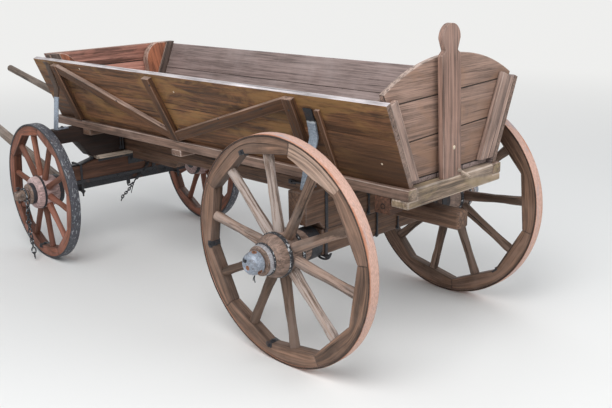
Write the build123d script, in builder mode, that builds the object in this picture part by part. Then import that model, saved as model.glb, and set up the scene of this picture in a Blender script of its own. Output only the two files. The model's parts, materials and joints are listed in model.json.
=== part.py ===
"""Four-wheeled farm hay wagon with a flared plank box, a lift-out tailgate, a steering front axle and two shafts.

Millimetres. +X points to the front of the wagon, +Y to its left, +Z up. The wheels stand on Z = 0 and the
origin lies on the ground below the middle of the whole wagon, its shafts included.
"""
from build123d import *
from math import cos, radians, sin, sqrt, tan
import os

os.makedirs("parts", exist_ok=True)

# Wheels and axles: the driving dimensions of the running gear
wheelbase = 2100
tyre_width = 59
tyre_thickness = 9
felloe_width = 54
tyre_fit = 0.2
rear_wheel_r = 525
rear_track_half = 625
rear_camber = 1.65
front_wheel_r = 413
front_track_half = 585
front_camber = 0.7
arm_r = 27
arm_fit = 0.05
cap_gap = 5
spoke_count = 10
rear_nave_r = 98
rear_nave_in = 180
rear_nave_out = 140
rear_arm_out = 208
front_nave_r = 98
front_nave_in = 96
front_nave_out = 100
front_arm_out = 182
nave_neck = 0.75

# The front carriage stands turned about the king pin, clockwise as seen from above
front_steer = -3.7
front_bed_half = front_track_half - front_nave_in - 59

# Shafts, one each side of the draught animal, drawn propped up at their tips
shaft_length = 2340
shaft_butt_r = 39
shaft_tip_r = 27
shaft_raise = 10.6
shaft_toe = 2.9
shaft_pivot_ahead = 122
shaft_pivot_above_hub = 28.7
shaft_pivot_y = front_bed_half + 2
tip_grip = 160

# Where the axles stand along X, so that the origin is below the middle of the whole wagon
lead_x = cos(radians(shaft_raise)) * cos(radians(front_steer - shaft_toe))
lead_pivot = shaft_pivot_ahead * cos(radians(front_steer)) - shaft_pivot_y * sin(radians(front_steer))
shaft_tip_ahead = lead_pivot + shaft_length * lead_x + shaft_tip_r * sqrt(1 - lead_x**2)
overall_length = rear_wheel_r + wheelbase + shaft_tip_ahead
rear_x = rear_wheel_r - overall_length / 2
front_x = rear_x + wheelbase

# Heights of the wheels' middles, on which all the heights of the wagon rest
rear_hub_z = rear_wheel_r * cos(radians(rear_camber)) + tyre_width / 2 * sin(radians(rear_camber))
front_hub_z = front_wheel_r * cos(radians(front_camber)) + tyre_width / 2 * sin(radians(front_camber))

# Box: a flat floor between two flared sides, on sills and cross beams
rear_overhang = 453
front_overhang = 200
box_rear = rear_x - rear_overhang
box_front = front_x + front_overhang
flare = radians(23)
plank = 28
side_foot_y = 320
side_slopes = {"left": 398, "right": 413}
side_seams = {"left": 232, "right": 250}
seam = 0.3
sill_width = 60
sill_height = 48
sill_overhang = 25
sill_rear = box_rear - 14
sill_front = box_front + 30
beam_height = 84
beam_width = 80
rear_beam_width = 92
middle_beam_offset = 50
floor_thickness = 25
floor_boards = 3

# Braces on the outside of the sides
brace_width = 56
brace_thickness = 30
brace_top_gap = 14
rear_upright_offset = 90
front_upright_offset = -55
middle_upright_offset = 38
middle_upright_lean = 45
narrow_width = 26
narrow_offset = -60
narrow_top_gap = 60

# Tailgate and front board
gate_thickness = 25
gate_rear = box_rear + 28
gate_fit = 2
gate_side_fit = 3
gate_corner_rise = 38
gate_arch_rise = 125
arch_margin = 120
gate_tilt = 15
gate_seam_heights = (177, 344)
batten_widths = {"left": 45, "right": 92}
guide_width = 42
post_foot_y = 35
post_lean = 3
post_width = 130
post_thickness = 26
post_packing = 14
post_packing_inset = 22
post_neck = 84
post_neck_rise = 19
post_head = 123
post_head_rise = 50
front_board_inset = 122
front_board_height = 376
front_board_seam_height = 272
knee_thickness = 46
knee_batten = 64

# Bolsters, axle beds and reach
bolster_thickness = 110
bolster_height = 188
rear_bolster_half = rear_track_half - 95
front_bolster_half = front_track_half - 85
bed_thickness = 100
rear_bed_half = rear_track_half - rear_nave_in - 20
rear_bed_height = 120
rear_bed_above_hub = 64.37
reach_size = 80
reach_rear = sill_rear - 38
turn_gap = 0.5
wear_plate_thickness = 25
wear_plate_width = bolster_thickness + 30
wear_plate_half = 240
bolster_foot_half = wear_plate_half + 40
bed_end_drop = 30
axle_bar = 48
axle_bar_width = 46
axle_bar_above_hub = 16
haunch_depth = 40
haunch_length = 470
king_pin_r = 12
king_pin_fit = 0.05

bolster_foot_z = rear_hub_z + rear_bed_above_hub
bolster_top_z = bolster_foot_z + bolster_height
sill_top = bolster_top_z + sill_height
side_foot_z = sill_top
floor_top = sill_top + floor_thickness
floor_half = side_foot_y - plank / cos(flare) - seam
sill_outer = side_foot_y + sill_overhang
sill_inner = sill_outer - sill_width

# Ground frames of the two axles: x ahead, y to the left, z up
rear_frame = Plane(origin=(rear_x, 0, 0), x_dir=(1, 0, 0), z_dir=(0, 0, 1))
front_frame = Plane(
    origin=(front_x, 0, 0),
    x_dir=(cos(radians(front_steer)), sin(radians(front_steer)), 0),
    z_dir=(0, 0, 1),
)
front_section = Plane(origin=front_frame.origin, x_dir=front_frame.y_dir, z_dir=front_frame.x_dir)


def outer_y(z, off=0):
    """Y of a flared side's outer face at height z, moved outwards square to the face by off."""
    return side_foot_y + (z - side_foot_z) * tan(flare) + off / cos(flare)


def side_plane(side):
    """Plane of a side's outer face: local x along the wagon, local y up the slope from the foot."""
    return Plane(
        origin=(0, side * side_foot_y, side_foot_z),
        x_dir=(1, 0, 0),
        z_dir=(0, -cos(flare), side * sin(flare)),
    )


def slope_point(u, off=0):
    """(Y, Z) of the point u up the slope from the foot, moved outwards square to the face by off."""
    return (side_foot_y + u * sin(flare) + off * cos(flare), side_foot_z + u * cos(flare) - off * sin(flare))


def save(piece, label):
    """Label a finished piece and write it as its own file."""
    piece.part.label = label
    export_step(piece.part, f"parts/{label}.step")


sides = {"left": 1, "right": -1}

# Side planks: the lower one has its foot cut level to sit on the sill
for side_name, side in sides.items():
    seam_u = side_seams[side_name]
    plank_rows = {
        # row: lower edge as (Y, Z) outside and inside, then upper edge up the slope
        "lower": ((side_foot_y, side_foot_z), (side_foot_y - plank / cos(flare), side_foot_z), seam_u - seam),
        "upper": (slope_point(seam_u), slope_point(seam_u, -plank), side_slopes[side_name]),
    }
    for row_name, (foot_out, foot_in, top_u) in plank_rows.items():
        with BuildPart() as side_plank:
            with BuildSketch(Plane.YZ.offset(box_rear)):
                with BuildLine():
                    Polyline(
                        *[(side * y, z) for y, z in (foot_out, slope_point(top_u), slope_point(top_u, -plank), foot_in)],
                        close=True,
                    )
                make_face()
            extrude(amount=box_front - box_rear)
        save(side_plank, f"side_{side_name}_{row_name}")

# Braces: uprights on the sides, one of them leaning, and diagonals that run between them
rear_upright = rear_x + rear_upright_offset
front_upright = front_x + front_upright_offset
middle_upright = (rear_x + front_x) / 2 + middle_upright_offset
brace_foot_u = brace_thickness * tan(flare) + 1
uprights = [
    # (centre X at the foot, lean towards the front, width, thickness, gap below the side's top)
    (rear_upright, 0, brace_width, brace_thickness, brace_top_gap),
    (middle_upright, middle_upright_lean, brace_width, brace_thickness, brace_top_gap),
    (front_upright, 0, brace_width, brace_thickness, brace_top_gap),
    (rear_x + narrow_offset, 0, narrow_width, brace_thickness / 2, narrow_top_gap),
]
diagonals = [
    # (X of the middle upright's edge at the foot, X of the end upright's edge at the top)
    (middle_upright - brace_width / 2, rear_upright + brace_width / 2),
    (middle_upright + brace_width / 2, front_upright - brace_width / 2),
]
for side_name, side in sides.items():
    outside = side_plane(side)
    with BuildPart() as braces:
        for x, lean, width, thickness, top_gap in uprights:
            top_u = side_slopes[side_name] - top_gap
            with BuildSketch(outside):
                with BuildLine():
                    Polyline(
                        (x - width / 2, brace_foot_u),
                        (x + width / 2, brace_foot_u),
                        (x + width / 2 + lean, top_u),
                        (x - width / 2 + lean, top_u),
                        close=True,
                    )
                make_face()
            extrude(amount=-side * thickness)
        for foot_x, top_x in diagonals:
            way = 1 if top_x > foot_x else -1
            top_u = side_slopes[side_name] - brace_top_gap
            rise = brace_width
            near_x = foot_x + way * seam
            near_top_x = near_x + middle_upright_lean * rise / (top_u - brace_foot_u)
            far_x = top_x - way * seam
            with BuildSketch(outside):
                with BuildLine():
                    Polyline(
                        (near_x, brace_foot_u),
                        (near_top_x, brace_foot_u + rise),
                        (far_x, top_u),
                        (far_x, top_u - rise),
                        close=True,
                    )
                make_face()
            extrude(amount=-side * brace_thickness * 0.9)
    save(braces, f"braces_{side_name}")

# Sills along both sides, let into the cross beams
for side_name, side in sides.items():
    with BuildPart() as sill:
        with BuildSketch(Plane.YZ.offset(sill_rear)):
            with Locations((side * (sill_inner + sill_outer) / 2, sill_top - sill_height / 2)):
                Rectangle(sill_width, sill_height)
        extrude(amount=sill_front - sill_rear)
        chamfer(sill.edges().filter_by(Axis.X), 2)
    save(sill, f"sill_{side_name}")

# Cross beams with notched ends that carry the sills
cross_beams = {
    # name: (rear face X, width)
    "rear": (sill_rear, rear_beam_width),
    "middle": ((rear_x + front_x - beam_width) / 2 + middle_beam_offset, beam_width),
    "front": (front_x - bolster_thickness / 2 - beam_width - 20, beam_width),
}
for beam_name, (beam_x, width) in cross_beams.items():
    with BuildPart() as cross_beam:
        with BuildSketch(Plane.YZ.offset(beam_x)):
            with Locations((0, sill_top - beam_height / 2)):
                Rectangle(2 * sill_outer, beam_height)
            with Locations(*[(side * (sill_inner + sill_width), sill_top) for side in sides.values()]):
                Rectangle(2 * (sill_width + seam), 2 * (sill_height + seam), mode=Mode.SUBTRACT)
        extrude(amount=width)
    save(cross_beam, f"cross_beam_{beam_name}")

# Floor boards between the feet of the sides
floor_rear = gate_rear + 1
board_width = 2 * floor_half / floor_boards
with BuildPart() as floor_deck:
    with BuildSketch(Plane.XY.offset(sill_top)):
        with Locations(((floor_rear + box_front) / 2, 0)):
            with GridLocations(1, board_width, 1, floor_boards):
                Rectangle(box_front - floor_rear, board_width - 2 * seam)
    extrude(amount=floor_thickness)
save(floor_deck, "floor")


def board_outline(foot_z, top_z, fit, foot_tilt=0, top_tilt=0):
    """Corners of a board between the sides, as (Y, Z); a tilt lifts the right end of an edge and lowers the left."""
    corners = [(-1, foot_z + foot_tilt), (1, foot_z - foot_tilt), (1, top_z - top_tilt), (-1, top_z + top_tilt)]
    return [(end * (outer_y(z, -plank) - fit), z) for end, z in corners]


# Tailgate: three boards under one arch, lifted out between battens
gate_foot_z = floor_top + seam
gate_corner_z = slope_point(side_slopes["left"])[1] + gate_corner_rise
gate_arch_z = gate_corner_z + gate_arch_rise
gate_levels = [
    # (height, tilt) of the boards' edges
    (gate_foot_z, 0),
    *[(floor_top + height, gate_tilt) for height in gate_seam_heights],
    (gate_arch_z + 10, gate_tilt),
]
gate_left, gate_right = [(end * (outer_y(gate_corner_z, -plank) - gate_side_fit), gate_corner_z) for end in (1, -1)]
with BuildPart() as tailgate_boards:
    for (low, low_tilt), (high, high_tilt) in zip(gate_levels, gate_levels[1:]):
        with BuildSketch(Plane.YZ.offset(gate_rear)):
            with BuildLine():
                Polyline(*board_outline(low + seam, high, gate_side_fit, low_tilt, high_tilt), close=True)
            make_face()
        extrude(amount=gate_thickness)
    with BuildSketch(Plane.YZ.offset(gate_rear)):
        with BuildLine():
            ThreePointArc(gate_right, (0, gate_arch_z), gate_left)
            Polyline(
                gate_left,
                (gate_left[0] + arch_margin, gate_left[1]),
                (gate_left[0] + arch_margin, gate_arch_z + arch_margin),
                (gate_right[0] - arch_margin, gate_arch_z + arch_margin),
                (gate_right[0] - arch_margin, gate_right[1]),
                gate_right,
            )
        make_face()
    extrude(amount=gate_thickness, mode=Mode.SUBTRACT)
save(tailgate_boards, "tailgate_boards")


def post_point(half, z):
    """(Y, Z) of a point at height z, half to the side of the leaning middle line of the post."""
    return (post_foot_y + (z - sill_top) * tan(radians(post_lean)) + half, z)


# Tailgate post: a leaning board that narrows at a neck, ends in a round paddle and stands on a packing strip
neck_z = gate_arch_z + post_neck_rise
head_z = neck_z + post_head_rise
post_back_x = gate_rear - post_packing - post_thickness - 2 * seam
with BuildPart() as tailgate_post:
    with BuildSketch(Plane.YZ.offset(post_back_x)):
        with BuildLine():
            head_left = post_point(post_head / 2, head_z)
            head_right = post_point(-post_head / 2, head_z)
            Polyline(
                head_right,
                post_point(-post_neck / 2, neck_z),
                post_point(-post_width / 2, gate_arch_z),
                post_point(-post_width / 2, sill_top + seam),
                post_point(post_width / 2, sill_top + seam),
                post_point(post_width / 2, gate_arch_z),
                post_point(post_neck / 2, neck_z),
                head_left,
            )
            ThreePointArc(head_left, post_point(0, head_z + post_head / 2), head_right)
        make_face()
    extrude(amount=post_thickness)
    with BuildSketch(Plane.YZ.offset(gate_rear - seam)):
        with BuildLine():
            packing_half = post_width / 2 - post_packing_inset
            Polyline(
                post_point(-packing_half, gate_foot_z),
                post_point(packing_half, gate_foot_z),
                post_point(packing_half, gate_arch_z - post_packing_inset),
                post_point(-packing_half, gate_arch_z - post_packing_inset),
                close=True,
            )
        make_face()
    extrude(amount=-post_packing - seam)
save(tailgate_post, "tailgate_post")

# Battens and guides that hold the tailgate's edges, on the inside of each side
for side_name, side in sides.items():
    with BuildPart() as gate_guides:
        for face_x, depth, width in (
            (box_rear, gate_rear - gate_fit / 2 - box_rear, batten_widths[side_name]),
            (gate_rear + gate_thickness + gate_fit / 2, plank, guide_width),
        ):
            foot_z = floor_top + (seam if face_x > gate_rear else 4)
            top_u = side_slopes[side_name] - (15 if face_x < gate_rear else 6)
            foot_u = (foot_z - side_foot_z) / cos(flare)
            inner = -plank - seam
            foot_out = (outer_y(foot_z, inner), foot_z)
            foot_in = (outer_y(foot_z, inner - width), foot_z)
            with BuildSketch(Plane.YZ.offset(face_x)):
                with BuildLine():
                    Polyline(
                        *[
                            (side * y, z)
                            for y, z in (foot_out, slope_point(top_u, inner), slope_point(top_u, inner - width), foot_in)
                        ],
                        close=True,
                    )
                make_face()
            extrude(amount=depth)
    save(gate_guides, f"gate_guides_{side_name}")

# Front board of two planks
front_board_x = box_front - front_board_inset
front_board_seam = floor_top + front_board_seam_height
front_board_top = floor_top + front_board_height
with BuildPart() as front_board:
    for low, high in ((gate_foot_z, front_board_seam), (front_board_seam + seam, front_board_top)):
        with BuildSketch(Plane.YZ.offset(front_board_x)):
            with BuildLine():
                Polyline(*board_outline(low, high, gate_side_fit), close=True)
            make_face()
        extrude(amount=gate_thickness)
save(front_board, "front_board")

# Knees with an S-shaped inner edge that hold the front board's ends, and a batten between each knee and its side
knee_outlines = {
    # side: five points of the inner edge, from foot to top, as (distance from the side, height above the floor)
    "left": ((70, 0), (100, 110), (132, 222), (150, 290), (85, 372)),
    "right": ((70, 0), (104, 115), (161, 238), (189, 302), (142, 380)),
}
knee_rear_x = front_board_x - knee_thickness - seam
wall = -plank - seam
for side_name, side in sides.items():
    with BuildPart() as knee:
        with BuildSketch(Plane.YZ.offset(knee_rear_x)):
            with BuildLine():
                foot, waist, joint, bulge, top = [
                    (side * (outer_y(gate_foot_z + height, wall) - distance), gate_foot_z + height)
                    for distance, height in knee_outlines[side_name]
                ]
                heights = (foot[1], top[1])
                low_out, high_out = [(side * (outer_y(z, wall) - knee_batten - seam), z) for z in heights]
                ThreePointArc(foot, waist, joint)
                ThreePointArc(joint, bulge, top)
                Polyline(top, high_out, low_out, foot)
            make_face()
        extrude(amount=knee_thickness)
    save(knee, f"front_knee_{side_name}")

    with BuildPart() as front_batten:
        with BuildSketch(Plane.YZ.offset(knee_rear_x)):
            with BuildLine():
                low_wall, high_wall = [(side * outer_y(z, wall), z) for z in heights]
                low_in, high_in = [(side * (outer_y(z, wall) - knee_batten), z) for z in heights]
                Polyline(low_wall, high_wall, high_in, low_in, close=True)
            make_face()
        extrude(amount=knee_thickness)
    save(front_batten, f"front_batten_{side_name}")

# Reach: the long pole that ties the rear axle to the front bolster, deeper behind the bolster
reach_front = front_x + 95
haunch_front = front_x - wear_plate_width / 2 - 60
with BuildPart() as reach:
    with BuildSketch(Plane.YZ.offset(reach_rear)):
        with Locations((0, bolster_foot_z + reach_size / 2)):
            Rectangle(reach_size, reach_size - 2 * seam)
    extrude(amount=reach_front - reach_rear)
    chamfer(reach.edges().filter_by(Axis.X), 6)
    chamfer(reach.faces().sort_by(Axis.X)[0].edges(), 8)
    with BuildSketch(Plane.XZ):
        with BuildLine():
            Polyline(
                (haunch_front, bolster_foot_z + reach_size / 2),
                (haunch_front, bolster_foot_z - haunch_depth),
                (haunch_front - haunch_length + haunch_depth, bolster_foot_z - haunch_depth),
                (haunch_front - haunch_length, bolster_foot_z + seam),
                (haunch_front - haunch_length, bolster_foot_z + reach_size / 2),
                close=True,
            )
        make_face()
    extrude(amount=reach_size / 2 - 4, both=True)
    with Locations((front_x, 0, bolster_foot_z)):
        Cylinder(king_pin_r + king_pin_fit, 4 * reach_size, mode=Mode.SUBTRACT)
save(reach, "reach")

# Rear bolster, cut away over the naves, and the axle bed
hub_clear_y = rear_track_half - rear_nave_in - 30
horn_foot_z = rear_hub_z + nave_neck * rear_nave_r + 30
with BuildPart() as rear_bolster:
    with BuildSketch(Plane.YZ.offset(rear_x - bolster_thickness / 2)):
        with BuildLine():
            Polyline(
                (-rear_bolster_half, bolster_top_z),
                (rear_bolster_half, bolster_top_z),
                (rear_bolster_half, horn_foot_z),
                (hub_clear_y + 30, horn_foot_z),
                (hub_clear_y, bolster_foot_z),
                (-hub_clear_y, bolster_foot_z),
                (-hub_clear_y - 30, horn_foot_z),
                (-rear_bolster_half, horn_foot_z),
                close=True,
            )
        make_face()
        with Locations((0, bolster_foot_z)):
            Rectangle(reach_size + 2 * seam, 2 * reach_size, mode=Mode.SUBTRACT)
    extrude(amount=bolster_thickness)
save(rear_bolster, "rear_bolster")

with BuildPart() as rear_axle_bed:
    with BuildSketch(Plane.YZ.offset(rear_x - bed_thickness / 2)):
        with Locations((0, bolster_foot_z - rear_bed_height / 2 - seam)):
            Rectangle(2 * rear_bed_half, rear_bed_height)
    extrude(amount=bed_thickness)
    chamfer(rear_axle_bed.edges().filter_by(Axis.Y), 4)
save(rear_axle_bed, "rear_axle_bed")


def axle_plane(frame, track_half, hub_z, camber, side):
    """Plane through a wheel's middle, its normal along the axle arm and away from the wagon."""
    across = frame.y_dir * side
    return Plane(
        origin=frame.origin + across * track_half + Vector(0, 0, hub_z),
        x_dir=frame.x_dir,
        z_dir=across * cos(radians(camber)) - Vector(0, 0, sin(radians(camber))),
    )


axles = {
    # axle: ground frame, half track, hub height, camber, bed's half length, nave inwards, nave outwards, arm's end
    "rear": (
        rear_frame, rear_track_half, rear_hub_z, rear_camber, rear_bed_half, rear_nave_in, rear_nave_out,
        rear_arm_out,
    ),
    "front": (
        front_frame, front_track_half, front_hub_z, front_camber, front_bed_half, front_nave_in, front_nave_out,
        front_arm_out,
    ),
}
collar_r = 44
collar_gap = 1
caps = {
    # axle: cap's radius beside the nave and at its outer end
    "rear": (52, 52),
    "front": (32, 32),
}
for axle_name, (frame, track, hub_z, camber, bed_half, nave_in, nave_out, arm_end) in axles.items():
    cap_root_r, cap_end_r = caps[axle_name]
    with BuildPart() as axle_arms:
        for side in sides.values():
            wheel_plane = axle_plane(frame, track, hub_z, camber, side)
            arm_root = -(track - bed_half) - 5
            with BuildSketch(Plane(wheel_plane.origin, x_dir=wheel_plane.x_dir, z_dir=-wheel_plane.y_dir)):
                with BuildLine():
                    Polyline(
                        (0, arm_root),
                        (collar_r, arm_root),
                        (collar_r, -nave_in - collar_gap),
                        (arm_r, -nave_in - collar_gap),
                        (arm_r, nave_out + cap_gap),
                        (cap_root_r, nave_out + cap_gap),
                        (cap_end_r, arm_end),
                        (0, arm_end),
                        close=True,
                    )
                make_face()
            revolve(axis=Axis(wheel_plane.origin, wheel_plane.z_dir))
        with BuildSketch(frame.offset(hub_z)):
            Rectangle(4 * collar_r, 2 * (bed_half + seam))
        extrude(amount=2 * collar_r, both=True, mode=Mode.SUBTRACT)
    save(axle_arms, f"{axle_name}_axle_arms")

# Wheels: nave with its spokes, felloes and tyre, each turning on its axle arm
wheel_table = {
    # axle: radius, felloe depth at a spoke, nave radius, spoke's width at the nave and at the felloe
    "rear": (rear_wheel_r, 86, rear_nave_r, 52, 46),
    "front": (front_wheel_r, 70, front_nave_r, 40, 35),
}
spoke_turns = {
    # wheel: angle of its first spoke
    "rear_left": 25.2,
    "rear_right": 30.3,
    "front_left": 26,
    "front_right": 10.8,
}
nave_profile = {
    # axle: (share of the length in or out, share of the radius), from the inner end outwards
    "rear": ((-1, nave_neck), (-0.4, nave_neck), (-0.4, 1), (0.61, 1), (0.61, 0.7), (1, 0.7)),
    "front": ((-1, 1), (0.66, 1), (0.66, 0.63), (1, 0.63)),
}
spoke_joint = 360 / spoke_count
for axle_name, (radius, depth, nave_r, foot_width, head_width) in wheel_table.items():
    frame, track, hub_z, camber, bed_half, nave_in, nave_out, arm_end = axles[axle_name]
    rim_r = radius - tyre_thickness
    apothem = radius - depth
    spoke_foot = nave_r - 12
    for side_name, side in sides.items():
        place = axle_plane(frame, track, hub_z, camber, side)
        wheel = f"{axle_name}_{side_name}"
        turn = spoke_turns[wheel]
        with BuildPart() as tyre:
            with BuildSketch(place.offset(-tyre_width / 2)):
                Circle(radius)
                Circle(rim_r, mode=Mode.SUBTRACT)
            extrude(amount=tyre_width)
        save(tyre, f"tyre_{wheel}")

        with BuildPart() as felloes:
            with BuildSketch(place.offset(-felloe_width / 2)):
                Circle(rim_r - tyre_fit)
                RegularPolygon(
                    apothem, spoke_count, major_radius=False, rotation=turn - spoke_joint / 2, mode=Mode.SUBTRACT
                )
                with PolarLocations(0, spoke_count // 2, start_angle=turn + spoke_joint / 2):
                    with Locations((radius, 0)):
                        Rectangle(radius, 2 * seam, mode=Mode.SUBTRACT)
            extrude(amount=felloe_width)
        save(felloes, f"felloes_{wheel}")

        with BuildPart() as nave_spokes:
            with BuildSketch(place.offset(-foot_width / 2)):
                with PolarLocations(0, spoke_count, start_angle=turn):
                    Polygon(
                        (spoke_foot, -foot_width / 2),
                        (apothem - seam, -head_width / 2),
                        (apothem - seam, head_width / 2),
                        (spoke_foot, foot_width / 2),
                        align=None,
                    )
            extrude(amount=foot_width)
            with BuildSketch(Plane(place.origin, x_dir=place.x_dir, z_dir=-place.y_dir)):
                with BuildLine():
                    Polyline(
                        (arm_r + arm_fit, -nave_in),
                        *[
                            (nave_r * r_share, (nave_in if share < 0 else nave_out) * share)
                            for share, r_share in nave_profile[axle_name]
                        ],
                        (arm_r + arm_fit, nave_out),
                        close=True,
                    )
                make_face()
            revolve(axis=Axis(place.origin, place.z_dir))
        save(nave_spokes, f"nave_spokes_{wheel}")

# Front bolster: deep in the middle, thin at its ends, fixed under the box
bolster_end_depth = 78
with BuildPart() as front_bolster:
    with BuildSketch(Plane.YZ.offset(front_x - bolster_thickness / 2)):
        with BuildLine():
            Polyline(
                (-front_bolster_half, bolster_top_z),
                (front_bolster_half, bolster_top_z),
                (front_bolster_half, bolster_top_z - bolster_end_depth),
                (bolster_foot_half + 90, bolster_top_z - bolster_end_depth),
                (bolster_foot_half, bolster_foot_z),
                (-bolster_foot_half, bolster_foot_z),
                (-bolster_foot_half - 90, bolster_top_z - bolster_end_depth),
                (-front_bolster_half, bolster_top_z - bolster_end_depth),
                close=True,
            )
        make_face()
        with Locations((0, bolster_foot_z)):
            Rectangle(reach_size + 2 * seam, 2 * reach_size, mode=Mode.SUBTRACT)
    extrude(amount=bolster_thickness)
    with Locations((front_x, 0, bolster_top_z)):
        Cylinder(king_pin_r + king_pin_fit, 4 * reach_size, mode=Mode.SUBTRACT)
save(front_bolster, "front_bolster")

# Front axle, turning under the bolster: wear plate, wooden bed, iron bar and the shafts' eyes
plate_top = bolster_foot_z - turn_gap
bed_top = plate_top - wear_plate_thickness - seam
bar_top = front_hub_z + axle_bar_above_hub
front_bed_foot_z = bar_top + seam
bed_end_z = bed_top - bed_end_drop
with BuildPart() as wear_plate:
    with BuildSketch(front_frame.offset(plate_top - wear_plate_thickness)) as plate_outline:
        Rectangle(wear_plate_width, 2 * wear_plate_half)
        chamfer(plate_outline.vertices(), 14)
        Circle(king_pin_r + king_pin_fit, mode=Mode.SUBTRACT)
    extrude(amount=wear_plate_thickness)
save(wear_plate, "wear_plate")

with BuildPart() as front_axle_bed:
    with BuildSketch(front_section.offset(-bed_thickness / 2)):
        with BuildLine():
            Polyline(
                (-front_bed_half, front_bed_foot_z),
                (front_bed_half, front_bed_foot_z),
                (front_bed_half, bed_end_z),
                (wear_plate_half + 3 * bed_end_drop, bed_end_z),
                (wear_plate_half - 25, bed_top),
                (-wear_plate_half + 25, bed_top),
                (-wear_plate_half - 3 * bed_end_drop, bed_end_z),
                (-front_bed_half, bed_end_z),
                close=True,
            )
        make_face()
    extrude(amount=bed_thickness)
    with BuildSketch(front_frame.offset(front_bed_foot_z - 1)):
        Circle(king_pin_r + king_pin_fit)
    extrude(amount=bed_top - front_bed_foot_z + 2, mode=Mode.SUBTRACT)
save(front_axle_bed, "front_axle_bed")

with BuildPart() as front_axle_bar:
    with BuildSketch(front_frame.offset(bar_top - axle_bar)):
        Rectangle(axle_bar_width, 2 * front_bed_half)
        Circle(king_pin_r + king_pin_fit, mode=Mode.SUBTRACT)
    extrude(amount=axle_bar)
save(front_axle_bar, "front_axle_bar")

king_head = 14
with BuildPart() as king_pin:
    with BuildSketch(Plane.XY.offset(bar_top - axle_bar - 30)):
        with Locations((front_x, 0)):
            Circle(king_pin_r)
    extrude(amount=bolster_top_z - bar_top + axle_bar + 30)
    with BuildSketch(Plane.XY.offset(bolster_top_z + seam)):
        with Locations((front_x, 0)):
            Circle(king_pin_r * 1.9)
    extrude(amount=king_head)
    with BuildSketch(Plane.XY.offset(bolster_top_z)):
        with Locations((front_x, 0)):
            Circle(king_pin_r)
    extrude(amount=king_head)
save(king_pin, "king_pin")

# Stakes: bent flat irons, broader at the top, that rise from the bolsters' ends and lean on the sides
stake_thickness = 10
stake_foot_length = 70
stakes = {
    # axle: X, foot's Y, width at the foot and above, low bend as (height above the floor, distance in from the
    # foot), then the other bends of the inner face as (height above the floor, distance out from the side)
    "rear": (rear_x, rear_bolster_half - 43, 28, 50, (10, 23), ((118, 38), (150, 15), (221, 0), (283, 0))),
    "front": (front_x, front_bolster_half - 25, 40, 48, (60, 16), ((175, 39), (316, 22), (337, 29))),
}
for axle_name, (x, foot_y, low_width, high_width, (low_rise, low_sway), bends) in stakes.items():
    foot_z = bolster_top_z + seam
    top_z = floor_top + bends[-1][0] + 1
    waist_z = floor_top + low_rise
    broad_z = floor_top + bends[0][0]
    across = stake_thickness / cos(flare)
    rising = [(foot_y - low_sway, waist_z)]
    rising += [(outer_y(floor_top + rise, seam) + out, floor_top + rise) for rise, out in bends]
    outer_face = [(foot_y + across, foot_z), *[(y + across, z) for y, z in rising]]
    inner_face = [
        *rising[::-1],
        (foot_y, foot_z + stake_thickness),
        (foot_y - stake_foot_length, foot_z + stake_thickness),
        (foot_y - stake_foot_length, foot_z),
    ]
    with BuildPart() as stake_pair:
        for side in sides.values():
            with BuildSketch(Plane.YZ.offset(x - high_width / 2)):
                with BuildLine():
                    Polyline(*[(side * y, z) for y, z in outer_face + inner_face], close=True)
                make_face()
            extrude(amount=high_width)
        with BuildSketch(Plane.XZ):
            with BuildLine():
                Polyline(
                    (x - low_width / 2, foot_z - 1),
                    (x + low_width / 2, foot_z - 1),
                    (x + low_width / 2, waist_z),
                    (x + high_width / 2, broad_z),
                    (x + high_width / 2, top_z),
                    (x - high_width / 2, top_z),
                    (x - high_width / 2, broad_z),
                    (x - low_width / 2, waist_z),
                    close=True,
                )
            make_face()
        extrude(amount=rear_track_half + front_track_half, both=True, mode=Mode.INTERSECT)
    save(stake_pair, f"{axle_name}_stakes")

# Shafts: tapered poles with a round grip at the tip, that swing on a pin at each end of the front axle
pin_r = 10
pole_sides = 8
shaft_pivot_z = front_hub_z + shaft_pivot_above_hub
grip_start = shaft_length - tip_grip
for side_name, side in sides.items():
    plan = radians(front_steer - side * shaft_toe)
    rise = radians(shaft_raise)
    way = Vector(cos(rise) * cos(plan), cos(rise) * sin(plan), sin(rise))
    across = front_frame.y_dir
    pivot = front_frame.origin + front_frame.x_dir * shaft_pivot_ahead + across * side * shaft_pivot_y
    pivot += Vector(0, 0, shaft_pivot_z)
    lengthwise = Plane(pivot, x_dir=across - way * across.dot(way), z_dir=way)
    with BuildPart() as shaft:
        with BuildSketch(lengthwise.offset(-shaft_butt_r)):
            RegularPolygon(shaft_butt_r, pole_sides, rotation=180 / pole_sides)
        extrude(amount=2 * shaft_butt_r)
        for distance, pole_r in ((shaft_butt_r, shaft_butt_r), (grip_start, shaft_tip_r)):
            with BuildSketch(lengthwise.offset(distance)):
                RegularPolygon(pole_r, pole_sides, rotation=180 / pole_sides)
        loft(ruled=True)
        with BuildSketch(lengthwise.offset(grip_start)):
            Circle(shaft_tip_r)
        extrude(amount=tip_grip)
        with BuildSketch(Plane(pivot, z_dir=across)):
            Circle(pin_r + king_pin_fit)
        extrude(amount=2 * shaft_butt_r, both=True, mode=Mode.SUBTRACT)
    save(shaft, f"shaft_{side_name}")

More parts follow.
